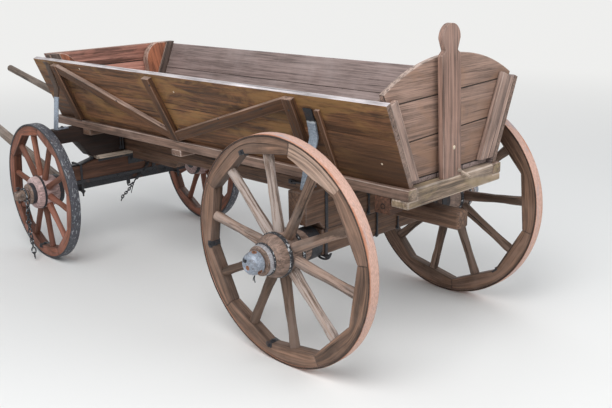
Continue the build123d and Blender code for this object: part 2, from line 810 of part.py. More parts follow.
# Forked iron brackets on the axle bed's front face that carry the shafts' pins
ear_thickness = 8
ear_gap = 4
ear_reach = shaft_pivot_ahead - bed_thickness / 2 - seam
ear_y = shaft_butt_r + ear_gap
with BuildPart() as shaft_brackets:
    for side in sides.values():
        with BuildSketch(front_section.offset(bed_thickness / 2 + seam)):
            with Locations((side * shaft_pivot_y, shaft_pivot_z)):
                Rectangle(2 * (ear_y + ear_thickness), 5 * pin_r)
        extrude(amount=ear_thickness)
        with BuildSketch(front_section.offset(bed_thickness / 2 + seam)):
            with Locations((side * shaft_pivot_y, shaft_pivot_z)):
                with GridLocations(2 * ear_y + ear_thickness, 1, 2, 1):
                    Rectangle(ear_thickness, 4 * pin_r)
        extrude(amount=ear_reach + 2 * pin_r)
        pivot = front_frame.origin + front_frame.x_dir * shaft_pivot_ahead
        pivot += front_frame.y_dir * side * shaft_pivot_y + Vector(0, 0, shaft_pivot_z)
        with BuildSketch(Plane(pivot, z_dir=front_frame.y_dir)):
            Circle(pin_r)
        extrude(amount=ear_y + ear_thickness / 2, both=True)
save(shaft_brackets, "shaft_brackets")

print("rear axle X", round(rear_x, 3), "front axle X", round(front_x, 3), "length", round(overall_length, 3))
print("hub heights", round(rear_hub_z, 3), round(front_hub_z, 3))
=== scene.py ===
"""Looks of the hay wagon: every plank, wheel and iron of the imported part, in weathered wood and iron."""

import json
import math

import bpy
import numpy as np
from mathutils import Matrix, Vector


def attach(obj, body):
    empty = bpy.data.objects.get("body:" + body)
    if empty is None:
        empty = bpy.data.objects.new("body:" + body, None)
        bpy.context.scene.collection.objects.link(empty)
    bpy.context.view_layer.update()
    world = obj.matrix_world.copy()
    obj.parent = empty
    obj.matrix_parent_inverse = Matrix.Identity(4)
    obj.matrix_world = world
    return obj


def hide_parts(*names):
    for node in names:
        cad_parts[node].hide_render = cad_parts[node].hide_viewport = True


bl_info = {
    "name": "Hay wagon looks",
    "version": (1, 0, 0),
    "blender": (4, 5, 0),
    "location": "View3D > Sidebar > Wagon",
    "description": "Dresses the hay wagon's frame with worn planks, wheels and ironwork",
    "category": "Object",
}

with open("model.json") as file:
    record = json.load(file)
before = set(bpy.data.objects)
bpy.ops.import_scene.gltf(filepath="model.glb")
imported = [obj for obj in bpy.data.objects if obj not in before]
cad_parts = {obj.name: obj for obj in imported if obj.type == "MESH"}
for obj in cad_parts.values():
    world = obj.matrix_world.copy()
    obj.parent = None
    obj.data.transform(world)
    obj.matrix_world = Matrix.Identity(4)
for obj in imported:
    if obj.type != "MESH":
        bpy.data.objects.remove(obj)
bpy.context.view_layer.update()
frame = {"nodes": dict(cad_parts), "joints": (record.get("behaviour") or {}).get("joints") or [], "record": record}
NODES = frame["nodes"]
RECORD = frame["record"]
NODE_BODY = {node: body for body, nodes in RECORD["behaviour"]["bodies"].items() for node in nodes}
NODE_SLOT = {part["node"]: part["material_slot"] for part in RECORD["subparts"]}

WHEELBASE = 2.1
FRONT_X = RECORD["behaviour"]["joints"][0]["pos_m"][0]
REAR_X = FRONT_X - WHEELBASE
STEER = math.radians(-3.7)
CARRIAGE = Matrix.Translation((FRONT_X, 0, 0)) @ Matrix.Rotation(STEER, 4, "Z")
FLARE = math.radians(23)
SIDE_FOOT = (0.320, 0.826)  # y and z of the foot of a flared side's outer face
GATE_X = -2.43  # between the guides' outer battens and the shaded ones behind them
NAVE_RADIUS = 0.098
RIM_RADIUS = 0.45  # where the grain of a rim has its true length
TYRE_HALF = 0.0275
SPOKES = 10
SPOKE_STEP = 36  # degrees from spoke to spoke
SPOKE_FOOT, SPOKE_GAP = 0.014, 0.0003  # how deep a spoke sits in its nave, and its gap to the felloe
HEWN = ((0.93, 0.93, -0.0014), (1.03, 1.0, 0.0014))  # least and most of a spoke's width, depth and shift
MERGE = 0.00001  # vertices nearer than this are one
SIDES = (("left", 1), ("right", -1))
AHEAD, BACK, ACROSS = Vector((1, 0, 0)), Vector((-1, 0, 0)), Vector((0, 1, 0))
UP, DOWN = Vector((0, 0, 1)), Vector((0, 0, -1))

PACKING_SIZE = (0.085, 0.088, 0.0765)
# profile of a black cup in the packing's hole: painted shade
PACKING_HOLE = ((0.0125, -0.004), (0.0125, 0.0008), (0.0095, 0.0012), (0.0095, -0.002), (0.0005, -0.002))
BED_PLATES = (
    # size and middle of each flat iron on the rear of the front axle bed
    ((0.006, 0.46, 0.014), (-0.0535, 0, 0.5535)), ((0.005, 0.15, 0.050), (-0.0530, -0.055, 0.520)),
    ((0.005, 0.13, 0.100), (-0.0530, -0.345, 0.482)), ((0.007, 0.86, 0.022), (-0.0535, 0, 0.437)),
    ((0.007, 0.030, 0.150), (-0.0545, -0.275, 0.480)), ((0.007, 0.026, 0.110), (-0.0545, -0.165, 0.480)),
)

BACKDROP = (0.86, 0.86, 0.85)
LAMPS = (
    # name, place, aim, size, power
    ("sky_lamp", (-3.2, 3.6, 5.2), (-0.9, 0, 0.6), 4.0, 260),
    ("tail_lamp", (-6.5, -1.5, 3.6), (-1.5, 0, 0.7), 3.0, 90),
    ("far_lamp", (2.5, -5.0, 4.5), (-0.9, 0, 0.6), 5.0, 70),
)
CAMERA_PLACE = (REAR_X - 2.5897, 3.0759, 1.7682)
CAMERA_ANGLES = (-45.153, 16.060, -1.064)  # yaw, pitch and roll in degrees
FOCAL_PIXELS = 867.86
PICTURE_WIDTH = 612
SENSOR_WIDTH = 36


def tone(red, green, blue):
    """A colour as read off a picture, in the linear values that Blender takes."""
    values = [channel / 255 for channel in (red, green, blue)]
    return tuple(v / 12.92 if v <= 0.04045 else ((v + 0.055) / 1.055) ** 2.4 for v in values)


def wheel_place(name):
    """Matrix from a wheel's own space to the wagon's: x ahead, z outwards along its axle arm."""
    joint = next(j for j in frame["joints"] if j["name"] == f"wheel_{name}_turn")
    ahead = Vector((math.cos(STEER), math.sin(STEER), 0)) if name.startswith("front") else AHEAD
    out = Vector(joint["axis"]).normalized()
    turned_space = Matrix((ahead, out.cross(ahead), out)).transposed().to_4x4()
    return Matrix.Translation(joint["pos_m"]) @ turned_space


def side_spot(side, x, up, off):
    """Point and normal on a flared side's outer face: x along the wagon, up the slope, off the face."""
    foot_y, foot_z = SIDE_FOOT
    y = foot_y + up * math.sin(FLARE) + off * math.cos(FLARE)
    z = foot_z + up * math.cos(FLARE) - off * math.sin(FLARE)
    return Vector((x, side * y, z)), Vector((0, side * math.cos(FLARE), -math.sin(FLARE)))


class WagonFinish(bpy.types.PropertyGroup):
    """Colours of the wagon's woods and irons."""

    side_brown: bpy.props.FloatVectorProperty(
        name="Side planks", description="Brown of the oiled side planks",
        subtype="COLOR", default=tone(108, 74, 50),
    )
    brace_brown: bpy.props.FloatVectorProperty(
        name="Braces", description="Darker brown of the braces",
        subtype="COLOR", default=tone(85, 56, 35),
    )
    inner_grey: bpy.props.FloatVectorProperty(
        name="Inside", description="Grey-brown of the box's inner faces",
        subtype="COLOR", default=tone(139, 121, 116),
    )
    tail_brown: bpy.props.FloatVectorProperty(
        name="Tail boards", description="Lighter brown of the tailgate",
        subtype="COLOR", default=tone(142, 115, 101),
    )
    red_brown: bpy.props.FloatVectorProperty(
        name="Front board", description="Red brown of the front board",
        subtype="COLOR", default=tone(168, 120, 105),
    )
    frame_brown: bpy.props.FloatVectorProperty(
        name="Frame beams", description="Dark brown of the beams under the box",
        subtype="COLOR", default=tone(104, 78, 62),
    )
    wheel_brown: bpy.props.FloatVectorProperty(
        name="Rear wheels", description="Worn brown of the rear wheels",
        subtype="COLOR", default=tone(123, 95, 78),
    )
    wheel_red: bpy.props.FloatVectorProperty(
        name="Front wheels", description="Red paint of the front wheels",
        subtype="COLOR", default=tone(132, 82, 62),
    )
    iron_black: bpy.props.FloatVectorProperty(
        name="Black iron", description="Black paint on iron",
        subtype="COLOR", default=tone(52, 53, 57),
    )
    iron_grey: bpy.props.FloatVectorProperty(
        name="Grey iron", description="Worn blue-grey iron of the stakes",
        subtype="COLOR", default=tone(140, 150, 162),
    )
    rust: bpy.props.FloatVectorProperty(
        name="Rust", description="Dusty rust on the rear tyres",
        subtype="COLOR", default=tone(196, 160, 145),
    )


class WagonSizes(bpy.types.PropertyGroup):
    """Small sizes that belong to the looks alone."""

    edge_wear: bpy.props.FloatProperty(
        name="Edge wear", description="Width of the worn edge of a plank", default=0.003, unit="LENGTH",
    )
    nail_radius: bpy.props.FloatProperty(
        name="Nail head", description="Radius of a nail's head", default=0.0034, unit="LENGTH",
    )
    link_wire: bpy.props.FloatProperty(
        name="Chain wire", description="Radius of the wire of a chain's links", default=0.0032, unit="LENGTH",
    )


class Tree:
    """Short way to lay nodes in a new material or world."""

    def __init__(self, name, kind="materials", shader="Principled BSDF"):
        self.data = getattr(bpy.data, kind).new(name)
        self.data.use_nodes = True
        self.nodes = self.data.node_tree.nodes
        self.links = self.data.node_tree.links
        self.shader = self.nodes[shader]
        self.column = 0

    def feed(self, socket, value):
        """Link a socket to another one's output, or set its value."""
        if isinstance(value, bpy.types.NodeSocket):
            self.links.new(value, socket)
        else:
            socket.default_value = value

    def add(self, kind, inputs=(), **settings):
        node = self.nodes.new(kind)
        node.location = (-1800 + 180 * (self.column % 9), 400 - 260 * (self.column // 9))
        self.column += 1
        for key, value in settings.items():
            setattr(node, key, value)
        for key, value in dict(inputs).items():
            self.feed(node.inputs[key], value)
        return node

    def attribute(self, name, output):
        return self.add("ShaderNodeAttribute", attribute_name=name).outputs[output]

    def place(self):
        return self.add("ShaderNodeTexCoord").outputs["Object"]

    def noise(self, vector, scale, detail=4.0, rough=0.6, distort=0.0):
        names = ("Vector", "Scale", "Detail", "Roughness", "Distortion")
        inputs = dict(zip(names, (vector, scale, detail, rough, distort)))
        return self.add("ShaderNodeTexNoise", inputs).outputs["Fac"]

    def stretch(self, vector, scale, shift=(0, 0, 0)):
        inputs = {"Vector": vector, "Scale": scale, "Location": shift}
        return self.add("ShaderNodeMapping", inputs).outputs["Vector"]

    def distance(self, vector, point):
        return self.add("ShaderNodeVectorMath", {0: vector, 1: point}, operation="DISTANCE").outputs["Value"]

    def span(self, value, low, high, kind="LINEAR"):
        inputs = {"Value": value, "From Min": low, "From Max": high}
        return self.add("ShaderNodeMapRange", inputs, interpolation_type=kind).outputs["Result"]

    def ramp(self, value, *stops):
        node = self.add("ShaderNodeValToRGB", {"Fac": value})
        elements = node.color_ramp.elements
        while len(elements) < len(stops):
            elements.new(0.5)
        for element, (position, level) in zip(elements, stops):
            element.position = position
            element.color = (*level, 1) if isinstance(level, tuple) else (level, level, level, 1)
        return node.outputs["Color"]

    def mix(self, share, first, second):
        node = self.add("ShaderNodeMix", data_type="RGBA")
        for number, value in ((0, share), (6, first), (7, second)):
            self.feed(node.inputs[number], (*value, 1) if isinstance(value, tuple) else value)
        return node.outputs[2]

    def layers(self, body, *layers):
        """Lay colours over a body, each as (what drives it, the ramp's two stops, colour)."""
        for value, stops, colour in layers:
            body = self.mix(self.ramp(value, *stops), body, colour)
        return body

    def calc(self, first, second, operation):
        return self.add("ShaderNodeMath", {0: first, 1: second}, operation=operation).outputs[0]

    def plus(self, first, second):
        return self.calc(first, second, "ADD")

    def times(self, first, second):
        return self.calc(first, second, "MULTIPLY")

    def finish(self, colour, roughness, bump, **settings):
        """Wire the shader; bump is (height, strength, distance), and other inputs go by name."""
        node = self.add("ShaderNodeBump", dict(zip(("Height", "Strength", "Distance"), bump)))
        wires = {"Base Color": colour, "Roughness": roughness, "Normal": node.outputs["Normal"]}
        for key, value in {**wires, **settings}.items():
            self.feed(self.shader.inputs[key.replace("_", " ")], value)
        return self.data


def shade(colour, factor, grey=0.0):
    """A lighter or darker version of a colour, drawn towards grey."""
    level = sum(colour) / 3
    return tuple(min(1.0, (c * (1 - grey) + level * grey) * factor) for c in colour)


def weathered_wood(name, base, honey, grey, contrast, crack, knot, dust, placed_patches=()):
    """Old planks: fibres, growth lines, stains, cracks, knots and dusty patches, all along the grain, and dark and
    pale patches at given places, among them painted shade and painted light.
    """
    t = Tree(name)
    where, tint = t.attribute("grain", "Vector"), t.attribute("tint", "Fac")
    fibre, thread, streak, stain, blotch, split = (
        t.noise(t.stretch(where, (along, across, across), shift), *look) for along, across, shift, look in (
            # along and across the fibres, shift, then scale, detail, roughness and distortion
            (0.6, 17, (0, 0, 0), (5.0, 8.0, 0.72, 0.1)),
            (0.9, 48, (0.9, 0.2, 0.5), (4.0, 4.0, 0.6, 0.0)),
            (0.5, 10, (0, 0, 0), (3.2, 6.0, 0.62, 0.2)),
            (1.0, 2.4, (0.3, 0.8, 0.1), (3.4, 5.0, 0.62, 0.5)),
            (1.1, 4.6, (1.3, 0.4, 0.7), (2.3, 6.0, 0.65, 0.4)),
            (0.55, 34, (0.4, 1.7, 0.3), (2.6, 3.0, 0.5, 0.35)),
        )
    )
    drift = t.noise(where, 3.1, 5.0, 0.62, 0.3)
    lines = t.add(
        "ShaderNodeTexWave",
        {"Vector": t.stretch(where, (0.14, 5.5, 5.5)), "Scale": 4.2, "Distortion": 5.0, "Detail": 4.0,
         "Detail Scale": 1.1, "Detail Roughness": 0.55},
        wave_type="BANDS", bands_direction="DIAGONAL",
    ).outputs["Fac"]
    dark, light, pale = shade(base, 0.32), shade(base, 1.6, grey * 0.3), shade(base, 2.2, grey * 0.8)
    depth = min(1.0, 0.25 + 2 * contrast)
    stops = (0.38, shade(base, 1 - 0.58 * depth)), (0.5, base), (0.61, shade(base, 1 + 0.6 * depth))
    body = t.layers(
        t.ramp(fibre, *stops),
        (thread, ((0.38, 0.7), (0.48, 0.0)), dark),
        (lines, ((0.0, 0.34 * contrast), (0.4, 0.0)), dark),
        (streak, ((0.53, 0.0), (0.64, 0.7 * contrast)), light),
        (streak, ((0.36, 0.8 * contrast), (0.46, 0.0)), dark),
        (blotch, ((0.34, 0.75 * contrast), (0.48, 0.0)), dark),
        (stain, ((0.49, 0.0), (0.6, 0.68 if honey else 0.2)), honey or light),
        (drift, ((0.5, 0.0), (0.72, dust)), pale),
    )
    squash = (0.6, 1.0, 1.3)
    # patches darken or lighten round given middles; on the tailgate they are painted shade, on the post's head
    # painted light
    for (x, y, z, sign), reach, strength in placed_patches:
        away = t.distance(t.stretch(t.place(), squash), (x * squash[0], y * squash[1], z * squash[2]))
        ragged = t.times(t.plus(away, t.times(streak, 0.22)), 1 / reach)
        colour = shade(base, 0.3) if sign < 0 else pale
        body = t.layers(body, (ragged, ((0.45, strength), (1.0, 0.0)), colour))
    spots = t.add("ShaderNodeTexVoronoi", {"Vector": t.stretch(where, (2.1, 6.2, 6.2)), "Scale": 1.0})
    body = t.layers(body, (spots.outputs["Distance"], ((0.035, 0.85 * knot), (0.13, 0.0)), shade(base, 0.25)))
    fleck = t.ramp(fibre, (0.43, 0.05), (0.54, 1.0))
    body = t.mix(t.times(t.times(tint, 0.9), fleck), body, pale)
    body = t.mix(t.calc(t.times(tint, -0.7), 0.0, "MAXIMUM"), body, dark)
    cracks = t.ramp(split, (0.30, 1.0), (0.345, 0.0))
    body = t.mix(t.times(cracks, 0.85 * crack), body, shade(base, 0.1))
    height = t.plus(t.plus(fibre, t.times(lines, 0.25)), t.times(cracks, -1.6 * crack))
    rough = t.ramp(fibre, (0.38, 0.5), (0.62, 0.78))
    return t.finish(body, rough, (height, 0.7, 0.0025), Specular_IOR_Level=0.38)


def iron_skin(t, base, rust, rust_share, worn, flecks=0.0, rolled=False):
    """Colour of painted or bare iron with rust, rubs and chips; on a rolled tyre they run round it."""
    where = t.stretch(t.attribute("grain", "Vector"), (0.55, 1.0, 1.5)) if rolled else t.place()
    dusty = rolled and not flecks
    patch = t.noise(where, 14.0, 6.0, 0.65, 0.4)
    fine = t.noise(where, 130.0, 4.0, 0.7)
    rub = t.noise(t.stretch(where, (9, 9, 9), (0.2, 0.5, 0.8)), 2.4, 6.0, 0.7, 0.8)
    chip = t.noise(where, 75.0, 3.0, 0.6, 0.6)
    deep = 0.78 if dusty else 0.6
    body = t.layers(
        t.ramp(fine, (0.3, shade(base, deep)), (0.7, shade(base, 2.1 - deep))),
        (patch, ((0.66 - 0.5 * rust_share, 0.0), (0.86 - 0.5 * rust_share, 0.95)), rust),
        (rub, ((0.6, 0.0), (0.78, worn)), shade(base, 1.2 if dusty else 2.6, 0.6)),
        (chip, ((0.57, 0.0), (0.63, flecks)), tone(196, 200, 204)),
    )
    if dusty:
        ragged = t.plus(t.attribute("tint", "Fac"), t.times(patch, 1.3))
        orange = t.ramp(t.plus(ragged, -0.9), (0.3, 0.0), (0.6, 0.8))
        bare = t.ramp(t.noise(where, 7.0, 5.0, 0.7, 0.6), (0.42, 0.0), (0.56, 1.0))
        body = t.mix(t.times(orange, bare), body, tone(184, 118, 84))
    return body, patch, fine


def aged_iron(name, base, rust, rust_share, rough, metal, worn, flecks, rolled=False):
    """Forged iron: paint or scale, rust in patches, pits and rubbed places."""
    t = Tree(name)
    body, patch, fine = iron_skin(t, base, rust, rust_share, worn, flecks, rolled)
    dull = t.ramp(patch, (0.3, rough - 0.1), (0.7, min(0.95, rough + 0.25)))
    return t.finish(body, dull, (t.plus(fine, t.times(patch, 0.8)), 0.45, 0.0011), Metallic=metal)


def stake_iron(name, upper, lower, rust, level, line):
    """A stake's iron: one colour above a level, another below it, and a pale line just above the level, a painted
    highlight.
    """
    t = Tree(name)
    height = t.add("ShaderNodeSeparateXYZ", {"Vector": t.place()}).outputs["Z"]
    ragged = t.plus(height, t.times(t.noise(t.place(), 60.0, 4.0), 0.012))
    share = t.span(ragged, level - 0.05, level + 0.05)
    high, patch, fine = iron_skin(t, upper, rust, 0.15, 0.3)
    low, _, _ = iron_skin(t, lower, rust, 0.18, 0.5, 0.2)
    body = t.layers(
        low,
        (share, ((0.46, 0.0), (0.5, 1.0)), high),
        # painted highlight: a pale line just above the level
        (share, ((0.5, line), (0.56, 0.0)), tone(205, 210, 214)),
        (share, ((0.43, 1.0), (0.46, 0.0)), low),
    )
    return t.finish(body, t.ramp(patch, (0.3, 0.42), (0.7, 0.65)), (fine, 0.4, 0.001), Metallic=0.35)


def make_finishes():
    """Every finish of the wagon by its plain name."""
    tints = bpy.context.scene.wagon_finish
    side, brace, inner = (tuple(c) for c in (tints.side_brown, tints.brace_brown, tints.inner_grey))
    tail, red, beam = (tuple(c) for c in (tints.tail_brown, tints.red_brown, tints.frame_brown))
    wheel, paint = (tuple(c) for c in (tints.wheel_brown, tints.wheel_red))
    black, grey, rust = (tuple(c) for c in (tints.iron_black, tints.iron_grey, tints.rust))
    brown_rust = tone(112, 76, 58)
    placed_patches = (
        # middle and sign, dark below nought, then reach and strength of the near side's patches
        ((-2.34, 0.36, 0.89, -1), 0.42, 0.95), ((-2.17, 0.46, 1.16, -1), 0.09, 0.6),
        ((0.0, 0.42, 1.08, -1), 0.22, 0.5), ((-0.78, 0.40, 1.02, -1), 0.26, 0.4),
        ((-1.92, 0.44, 1.1, -1), 0.2, 0.5),
    )
    # painted light on the top of the tailgate post's head
    post_head_light = (((-2.47, 0.06, 1.42, 1), 0.22, 0.45),)
    # painted shade over the tailgate's right part
    shaded_tail = (((-2.38, -0.34, 1.1, -1), 0.42, 0.3),)
    woods = {
        # finish: (base, honey, grey, contrast, crack, knot, dust, placed patches: darker patches, painted shade
        # and painted light)
        "side_wood": (side, tone(142, 107, 63), 0.0, 1.3, 1.1, 0.9, 0.1, placed_patches),
        "side_top": (tone(182, 174, 175), None, 0.6, 0.35, 0.7, 0.0, 0.4),
        "side_end": (tone(118, 96, 84), None, 0.4, 0.9, 1.0, 0.2, 0.3),
        "brace_wood": (brace, None, 0.1, 1.0, 1.0, 0.4, 0.15),
        "brace_edge": (tone(112, 84, 68), None, 0.3, 0.6, 0.6, 0.0, 0.3),
        "brace_top": (tone(144, 118, 103), None, 0.5, 0.7, 1.0, 0.0, 0.5),
        "inner_wood": (inner, None, 0.5, 0.12, 0.7, 0.05, 0.3),
        "inner_seam": (shade(inner, 0.12), None, 0.5, 0.3, 0.3, 0.0, 0.0),
        "inner_dark": (tone(92, 76, 68), None, 0.6, 0.8, 1.0, 0.1, 0.3),
        "sill_wood": (tone(130, 104, 90), None, 0.3, 1.0, 1.0, 0.3, 0.4),
        "sill_edge": (tone(178, 156, 144), None, 0.5, 0.5, 0.7, 0.0, 0.6),
        "tail_wood": (tail, tone(150, 116, 94), 0.3, 0.2, 1.0, 0.15, 0.2, shaded_tail),
        "tail_seam": (shade(tail, 0.14), None, 0.3, 0.4, 0.4, 0.0, 0.0),
        "tail_edge": (tone(160, 138, 126), None, 0.5, 0.5, 0.8, 0.0, 0.4),
        "post_wood": (tone(135, 106, 93), None, 0.3, 0.6, 1.6, 0.3, 0.3, post_head_light),
        "batten_wood": (tone(150, 125, 113), None, 0.4, 0.6, 1.6, 0.3, 0.3),
        "red_wood": (red, tone(186, 128, 110), 0.2, 1.3, 1.0, 0.3, 0.3),
        "knee_wood": (tone(142, 86, 60), tone(196, 122, 86), 0.2, 1.3, 0.8, 0.2, 0.2),
        "knee_edge": (tone(172, 140, 124), None, 0.5, 0.7, 0.8, 0.0, 0.5),
        "frame_wood": (beam, None, 0.3, 1.0, 1.2, 0.5, 0.3),
        "frame_edge": (shade(beam, 1.2, 0.3), None, 0.4, 0.6, 0.6, 0.0, 0.4),
        "beam_wood": (tone(138, 118, 100), tone(142, 124, 92), 0.5, 1.3, 1.6, 0.8, 0.5),
        "beam_edge": (tone(158, 140, 124), None, 0.6, 0.8, 1.0, 0.0, 0.6),
        "plate_wood": (tone(172, 154, 136), None, 0.6, 1.0, 1.0, 0.2, 0.5),
        # painted shade of the front bolster, deep under the box
        "painted_shade_wood": (tone(36, 20, 13), None, 0.2, 0.8, 1.0, 0.2, 0.15),
        "bed_wood": (tone(84, 56, 42), None, 0.2, 1.0, 1.0, 0.2, 0.2),
        "wheel_wood": (wheel, None, 0.4, 0.9, 0.9, 0.0, 0.35),
        # painted shade: the felloes' darker rounded edges stand for the groove under the tyre
        "wheel_edge": (shade(wheel, 0.75, 0.2), None, 0.4, 0.6, 0.7, 0.0, 0.2),
        # painted shade on the rear felloes' faces towards the hub
        "wheel_inner_shade": (shade(wheel, 0.7, 0.1), None, 0.5, 1.1, 1.0, 0.0, 0.4),
        "wheel_repair": (tone(158, 130, 112), None, 0.5, 0.2, 0.7, 0.0, 0.3),
        "spoke_wood": (tone(132, 105, 88), None, 0.8, 2.0, 2.4, 0.0, 0.5),
        "nave_wood": (tone(130, 108, 96), None, 0.5, 0.9, 0.9, 0.0, 0.45),
        "nave_paint": (tone(184, 154, 150), None, 0.6, 0.8, 0.8, 0.0, 0.4),
        "wheel_paint": (paint, tone(156, 104, 88), 0.3, 1.0, 0.6, 0.0, 0.35),
        # painted shade on the front felloes' rounded edges
        "paint_edge": (shade(paint, 0.7, 0.2), None, 0.3, 0.4, 0.4, 0.0, 0.2),
        # painted shade on the front felloes' faces towards the hub
        "paint_inner_shade": (shade(paint, 0.45), None, 0.3, 0.9, 0.8, 0.0, 0.3),
        "grey_pole": (tone(128, 112, 100), None, 0.6, 1.0, 1.2, 0.3, 0.5),
    }
    irons = {
        # finish: (base, rust, rust share, roughness, metal, worn, flecks, rolled as a tyre)
        "black_iron": (black, brown_rust, 0.2, 0.45, 0.35, 0.5, 0.0),
        "flecked_iron": (black, brown_rust, 0.15, 0.45, 0.35, 0.6, 0.9),
        "tyre_black": (tone(80, 81, 88), tone(110, 84, 72), 0.15, 0.5, 0.3, 0.9, 0.55, True),
        "cap_iron": (tone(138, 146, 158), tone(92, 86, 84), 0.2, 0.35, 0.3, 0.6, 0.2),
        "ring_iron": (tone(158, 156, 160), tone(132, 108, 90), 0.3, 0.45, 0.3, 0.6, 0.7),
        "worn_rust": (tone(140, 118, 104), tone(66, 60, 58), 0.4, 0.6, 0.2, 0.6, 0.3),
        "pale_metal": (tone(206, 192, 172), tone(150, 120, 95), 0.2, 0.5, 0.2, 0.2, 0.0),
        "rusty_iron": (rust, tone(150, 156, 168), 0.22, 0.75, 0.1, 0.35, 0.0, True),
        "tyre_side": (tone(70, 56, 48), tone(44, 38, 36), 0.4, 0.8, 0.1, 0.2, 0.0),
        "dark_rust": (tone(138, 92, 66), tone(96, 66, 50), 0.4, 0.8, 0.1, 0.1, 0.0),
        # painted shade inside holes
        "painted_hole_shade": (tone(16, 15, 15), tone(26, 20, 18), 0.2, 0.9, 0.0, 0.0, 0.0),
    }
    made = {name: weathered_wood(name, *look) for name, look in woods.items()}
    made.update({name: aged_iron(name, *look) for name, look in irons.items()})
    for name, upper, lower, level, line in (
        # the rear stake's pale line is a painted highlight
        ("rear_stake", shade(black, 0.8), grey, 1.078, 0.9),
        ("front_stake", tone(82, 66, 56), shade(grey, 1.3), 0.985, 0.0),
    ):
        made[name] = stake_iron(name, upper, lower, brown_rust, level, line)
    return made


SLOT_FINISH = {
    # record's slot: finish of the faces and of the worn edges, for nodes that name no finishes of their own; the
    # wheels' darker edges are painted shade
    "box_wood": ("side_wood", "side_wood"),
    "tail_wood": ("tail_wood", "tail_seam"),
    "frame_wood": ("frame_wood", "frame_edge"),
    "wheel_wood": ("wheel_wood", "wheel_edge"),
    "wheel_paint": ("wheel_paint", "paint_edge"),
    "grey_pole": ("grey_pole", "grey_pole"),
    "black_iron": ("black_iron", "black_iron"),
}


def only(obj):
    """Select one object and nothing else."""
    if bpy.context.object and bpy.context.object.mode != "OBJECT":
        bpy.ops.object.mode_set(mode="OBJECT")
    bpy.ops.object.select_all(action="DESELECT")
    obj.select_set(True)
    bpy.context.view_layer.objects.active = obj
    return obj


def fresh(add, **settings):
    """The object that a primitive's operator adds, with everything else deselected first."""
    bpy.ops.object.select_all(action="DESELECT")
    add(**settings)
    return bpy.context.object


def settle(obj, matrix=None):
    """Put an object's place into its mesh, in the wagon's space."""
    place = (matrix or Matrix.Identity(4)) @ obj.matrix_world
    obj.data.transform(place)
    if place.determinant() < 0:  # a mirrored place turns the faces inside out
        obj.data.flip_normals()
    obj.matrix_world = Matrix.Identity(4)
    obj.data.update()
    return obj


def apply_modifier(obj, kind, **settings):
    """Add a modifier, set it and apply it."""
    only(obj)
    modifier = obj.modifiers.new(kind.lower(), kind)
    for key, value in settings.items():
        setattr(modifier, key, value)
    bpy.ops.object.modifier_apply(modifier=modifier.name)


def round_edges(obj, width, angle):
    """Round the edges where faces meet at more than an angle."""
    apply_modifier(obj, "BEVEL", width=width, segments=2, limit_method="ANGLE", angle_limit=angle)


def smooth(obj, degrees=32):
    """Shade smooth, except where faces meet at more than an angle."""
    only(obj)
    bpy.ops.object.shade_smooth_by_angle(angle=math.radians(degrees))


def join(pieces, name):
    """Join pieces into the first one."""
    bpy.ops.object.select_all(action="DESELECT")
    for piece in pieces:
        piece.select_set(True)
    bpy.context.view_layer.objects.active = pieces[0]
    if len(pieces) > 1:
        bpy.ops.object.join()
    pieces[0].name = name
    return pieces[0]


def linked(name, data):
    """A new object in the scene with the given data."""
    obj = bpy.data.objects.new(name, data)
    bpy.context.scene.collection.objects.link(obj)
    return obj


def twin(obj, matrix):
    """A copy with its own mesh, moved by matrix."""
    copy = linked("twin", obj.data.copy())
    copy.data.transform(matrix)
    return copy


def islands(mesh):
    """Vertex numbers of each connected part."""
    parent = list(range(len(mesh.vertices)))

    def root(i):
        while parent[i] != i:
            parent[i] = parent[parent[i]]
            i = parent[i]
        return i

    for edge in mesh.edges:
        a, b = (root(v) for v in edge.vertices)
        if a != b:
            parent[a] = b
    groups = {}
    for i in range(len(parent)):
        groups.setdefault(root(i), []).append(i)
    return list(groups.values())


def lay_grain(obj, along=None, wheel=None, tints=None):
    """Write each board's own grain space, its x along the fibres, and how pale or dark the board is."""
    mesh = obj.data
    points = np.array([v.co for v in mesh.vertices], float).reshape(-1, 3)
    grain = np.zeros_like(points)
    tint = np.zeros(len(points))
    luck = np.random.default_rng(len(points))
    for group in islands(mesh):
        p = points[group]
        middle = p.mean(0)
        tint[group] = tints(Vector(middle)) if tints else luck.uniform(-0.3, 0.3)
        # each board takes its own part of the pattern
        shift = np.array([middle[0] * 7.3, middle[1] * 5.1 + middle[2], middle[2] * 3.7 + middle[0]])
        if wheel is not None:
            local = np.array([wheel.inverted() @ Vector(q) for q in p])
            angle = np.arctan2(local[:, 1], local[:, 0])
            mean = math.atan2(np.sin(angle).mean(), np.cos(angle).mean())
            turn = (angle - mean + math.pi) % (2 * math.pi) - math.pi
            radius = np.hypot(local[:, 0], local[:, 1])
            grain[group] = np.stack([turn * RIM_RADIUS, radius, local[:, 2]], 1) + shift
            continue
        if along is None:
            _, _, axes = np.linalg.svd(p - middle, full_matrices=False)
        else:
            first = np.array(Vector(along).normalized())
            second = np.cross(first, (0.0, 0.0, 1.0) if abs(first[2]) < 0.9 else (1.0, 0.0, 0.0))
            second /= np.linalg.norm(second)
            axes = np.stack([first, second, np.cross(first, second)])
        grain[group] = (p - middle) @ axes.T + shift
    for name, kind, field, values in (
        ("grain", "FLOAT_VECTOR", "vector", grain), ("tint", "FLOAT", "value", tint),
    ):
        attribute = mesh.attributes.get(name) or mesh.attributes.new(name, kind, "POINT")
        attribute.data.foreach_set(field, values.astype(np.float32).ravel())


def finish_piece(obj, name, body, finishes, replaces=()):
    """Name a piece, give it its finish and tie it to its body."""
    obj.name = name
    obj.data.name = name
    if finishes:
        obj.data.materials.clear()
        for finish in finishes:
            obj.data.materials.append(FINISHES[finish])
    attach(obj, body)
    if replaces:
        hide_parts(*replaces)
    return obj


